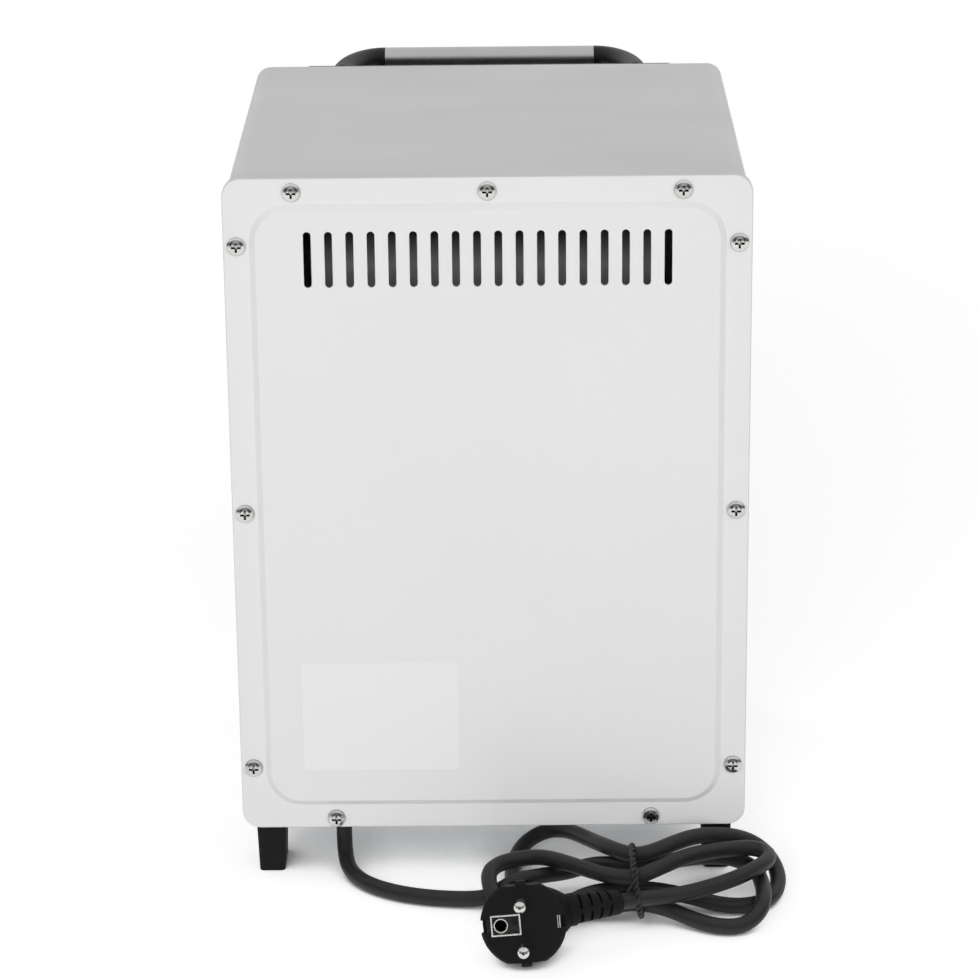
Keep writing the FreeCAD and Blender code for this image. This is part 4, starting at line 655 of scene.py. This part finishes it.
def makeLabel(look):
    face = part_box("rear_panel")[1].y
    width, height = look["right"] - look["left"], look["top"] - look["bottom"]
    shape = bmesh.new()
    bmesh.ops.create_grid(shape, x_segments=look["columns"], y_segments=look["rows"], size=0.5)
    bmesh.ops.scale(shape, vec=(width, height, 1), verts=shape.verts)
    for corner in shape.verts:
        # the paper's corners stand off the panel a little, and are trimmed
        x, y = abs(corner.co.x) / (width / 2), abs(corner.co.y) / (height / 2)
        corner.co.z = look["curl"] * max(0.0, x + y - look["curlFrom"]) * look["curlGain"]
        if min(x, y) > 0.999:
            corner.co.x *= 1 - look["trim"] / width
            corner.co.y *= 1 - look["trim"] / height
    bmesh.ops.solidify(shape, geom=shape.faces[:], thickness=-look["thickness"])
    middle = Vector(((look["left"] + look["right"]) / 2, face, (look["bottom"] + look["top"]) / 2))
    turn = Matrix.Rotation(math.pi, 4, "Z") @ Matrix.Rotation(math.pi / 2, 4, "X")
    bmesh.ops.transform(shape, matrix=Matrix.Translation(middle) @ turn, verts=shape.verts)
    bmesh.ops.recalc_face_normals(shape, faces=shape.faces)
    return finishedPiece("rear_label", shape, "label_paper", smooth=False)


rearLabel = makeLabel(label)
print("label stuck on")


# Printed scales round the two knobs

dials = {
    "face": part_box("front_panel")[0].y,
    "lift": 0.02 * mm,
    "ink": 0.03 * mm,
    "height": 70.0 * mm,
    "tickIn": 20.6 * mm,
    "tickOut": 22.4 * mm,
    "longTickOut": 23.6 * mm,
    "tickWidth": 0.45 * mm,
    "numberAt": 27.2 * mm,
    "numberSize": 4.2 * mm,
    "between": 5,
    "knobs": [
        {"knob": "temperature", "x": 52.0 * mm, "sweep": 300, "numbers": range(0, 301, 50)},
        {"knob": "timer", "x": -52.0 * mm, "sweep": 320, "numbers": range(0, 61, 10)},
    ],
}


def numberShape(text, size):
    words = bpy.data.curves.new("number", "FONT")
    words.body = text
    words.size = size
    words.align_x = "CENTER"
    words.align_y = "CENTER"
    holder = bpy.data.objects.new("number", words)
    scene.collection.objects.link(holder)
    bpy.context.view_layer.update()
    mesh = bpy.data.meshes.new_from_object(holder.evaluated_get(bpy.context.evaluated_depsgraph_get()))
    bpy.data.objects.remove(holder)
    return mesh


def makeScale(look, knob):
    # Drawn flat with the knob's axis at the origin, seen from the front, then stood up on the panel.
    # Zero is at the top, where the pointer rests, and the numbers run clockwise as far as the knob turns.
    shape = bmesh.new()
    count = (len(knob["numbers"]) - 1) * look["between"]
    for tick in range(count + 1):
        angle = -math.radians(knob["sweep"] * tick / count)
        outer = look["longTickOut"] if tick % look["between"] == 0 else look["tickOut"]
        middle = (look["tickIn"] + outer) / 2
        turn = Matrix.Rotation(angle, 4, "Z") @ Matrix.Translation((0, middle, 0))
        size = Matrix.Diagonal((look["tickWidth"], outer - look["tickIn"], 1, 1))
        bmesh.ops.create_grid(shape, x_segments=1, y_segments=1, size=0.5, matrix=turn @ size)
    for index, number in enumerate(knob["numbers"]):
        angle = -math.radians(knob["sweep"] * index / (len(knob["numbers"]) - 1))
        place = Vector((-math.sin(angle), math.cos(angle), 0)) * look["numberAt"]
        digits = numberShape(str(number), look["numberSize"])
        digits.transform(Matrix.Translation(place))
        shape.from_mesh(digits)
    bmesh.ops.solidify(shape, geom=shape.faces[:], thickness=look["ink"])
    bmesh.ops.recalc_face_normals(shape, faces=shape.faces)
    stand = Matrix.Translation((knob["x"], look["face"] - look["lift"], look["height"]))
    bmesh.ops.transform(shape, matrix=stand @ Matrix.Rotation(math.pi / 2, 4, "X"), verts=shape.verts)
    return finishedPiece(knob["knob"] + "_scale", shape, "dial_ink", smooth=False)


for knob in dials["knobs"]:
    makeScale(dials, knob)
print("scales printed")


# Painted inlay in each knob's pointer groove

pointer = {"width": 1.3 * mm, "thickness": 0.45 * mm, "back": 0.55 * mm, "from": 5.8 * mm, "to": 14.6 * mm,
           "bevel": 0.08 * mm}


def makePointer(look, knob, x, z):
    # It fills the groove in the knob's front face and turns with the knob.
    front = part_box(knob + "_knob")[0].y
    shape = bmesh.new()
    bmesh.ops.create_cube(shape, size=1.0)
    bmesh.ops.scale(shape, vec=(look["width"], look["thickness"], look["to"] - look["from"]), verts=shape.verts)
    middle = Vector((x, front + look["back"] - look["thickness"] / 2, z + (look["from"] + look["to"]) / 2))
    bmesh.ops.translate(shape, vec=middle, verts=shape.verts)
    bmesh.ops.bevel(shape, geom=shape.edges[:], offset=look["bevel"], offset_type="OFFSET", segments=2, profile=0.5,
                    affect="EDGES", material=-1, clamp_overlap=True)
    return finishedPiece(knob + "_pointer", shape, "pointer_paint", knob + "_control")


for knob in dials["knobs"]:
    makePointer(pointer, knob["knob"], knob["x"], dials["height"])
print("pointers painted")


# Floor and light

studio = {
    "floorZ": 0.0,
    "floorSize": 5.2,
    "floorColour": (0.66, 0.66, 0.66),
    "floorLift": 0.65,
    "contactShadowReach": 0.05,
    "contactShadowFrom": 0.21,
    "contactShadowTo": 0.42,
    "white": (1.0, 1.0, 1.0, 1.0),
    "worldStrength": 0.26,
    "backdropStrength": 0.97,
    "roomStrength": 0.05,
    "ceilingFrom": 0.22,
    "ceilingTo": 0.75,
    "farWall": 0.6,
    "lamps": [
        {"name": "key", "place": (0.5, 2.8, 1.0), "aim": (0, 0.1, 0.15), "size": 1.8, "watts": 48.5},
        {"name": "fill", "place": (-1.7, 1.9, 0.9), "aim": (0, 0.1, 0.15), "size": 1.4, "watts": 9.0},
        {"name": "frontLeft", "place": (-1.9, -1.9, 0.8), "aim": (0, 0, 0.15), "size": 1.4, "watts": 15.0},
        {"name": "frontRight", "place": (1.9, -1.9, 0.8), "aim": (0, 0, 0.15), "size": 1.4, "watts": 15.0},
    ],
}


def makeFloor(look):
    shape = bmesh.new()
    bmesh.ops.create_grid(shape, x_segments=1, y_segments=1, size=look["floorSize"] / 2)
    bmesh.ops.translate(shape, vec=(0, 0, look["floorZ"]), verts=shape.verts)
    mesh = bpy.data.meshes.new("floor")
    shape.to_mesh(mesh)
    shape.free()
    floor = bpy.data.objects.new("floor", mesh)
    scene.collection.objects.link(floor)
    paper = Finish("studio_paper", baseColor=look["floorColour"], roughness=0.9, specularIORLevel=0.1)
    seen = paper.node("LightPath", output="Is Camera Ray")
    mirrored = paper.node("LightPath", output="Is Glossy Ray")
    through = paper.node("LightPath", output="Is Transmission Ray")
    lit = paper.larger(seen, paper.larger(mirrored, through))
    # Painted contact shadow: ambient occlusion cuts the floor's glow for the camera, darkening it under and close
    # beside the case, its feet and the cord.
    unshaded = paper.spread(paper.openness(look["contactShadowReach"]), look["contactShadowFrom"], look["contactShadowTo"])
    paper.feed(emissionColor=look["white"][:3], emissionStrength=lit * unshaded * look["floorLift"])
    mesh.materials.append(paper.material)


def lightWorld(look):
    # What the eye and clear pieces see is white. Mirrored rays see a white ceiling and far wall, and a dark room
    # behind the camera.
    world = bpy.data.worlds.new("studio")
    sky = Wiring(world)
    direct = sky.node("LightPath", output="Is Camera Ray")
    seen = sky.larger(direct, sky.node("LightPath", output="Is Transmission Ray"))
    mirrored = sky.node("LightPath", output="Is Glossy Ray")
    toward = sky.node("TexCoord", output="Generated")
    away = sky.larger(0 - sky.node("SeparateXYZ", None, [toward], "Y"), 0)
    rise = sky.node("SeparateXYZ", None, [toward], "Z") + away * look["farWall"]
    ceiling = sky.node("MapRange", {"interpolation_type": "SMOOTHSTEP"},
                       [rise, look["ceilingFrom"], look["ceilingTo"], look["roomStrength"], look["backdropStrength"]])
    unseen = sky.node("Mix", None, {"Factor": mirrored, "A": look["worldStrength"], "B": ceiling})
    strength = sky.node("Mix", None, {"Factor": seen, "A": unseen, "B": look["backdropStrength"]})
    background = sky.tree.nodes["Background"]
    background.inputs["Color"].default_value = look["white"]
    sky.tree.links.new(strength.output, background.inputs["Strength"])
    scene.world = world


def hangLamps(look):
    for lamp in look["lamps"]:
        light = bpy.data.lights.new(lamp["name"], "AREA")
        light.shape = "DISK"
        light.size = lamp["size"]
        light.energy = lamp["watts"]
        holder = bpy.data.objects.new(lamp["name"], light)
        holder.location = lamp["place"]
        aim = Vector(lamp["aim"]) - Vector(lamp["place"])
        holder.rotation_euler = aim.to_track_quat("-Z", "Y").to_euler()
        holder.visible_glossy = False
        scene.collection.objects.link(holder)


makeFloor(studio)
lightWorld(studio)
hangLamps(studio)
scene.view_settings.view_transform = "Standard"
print("studio lit")
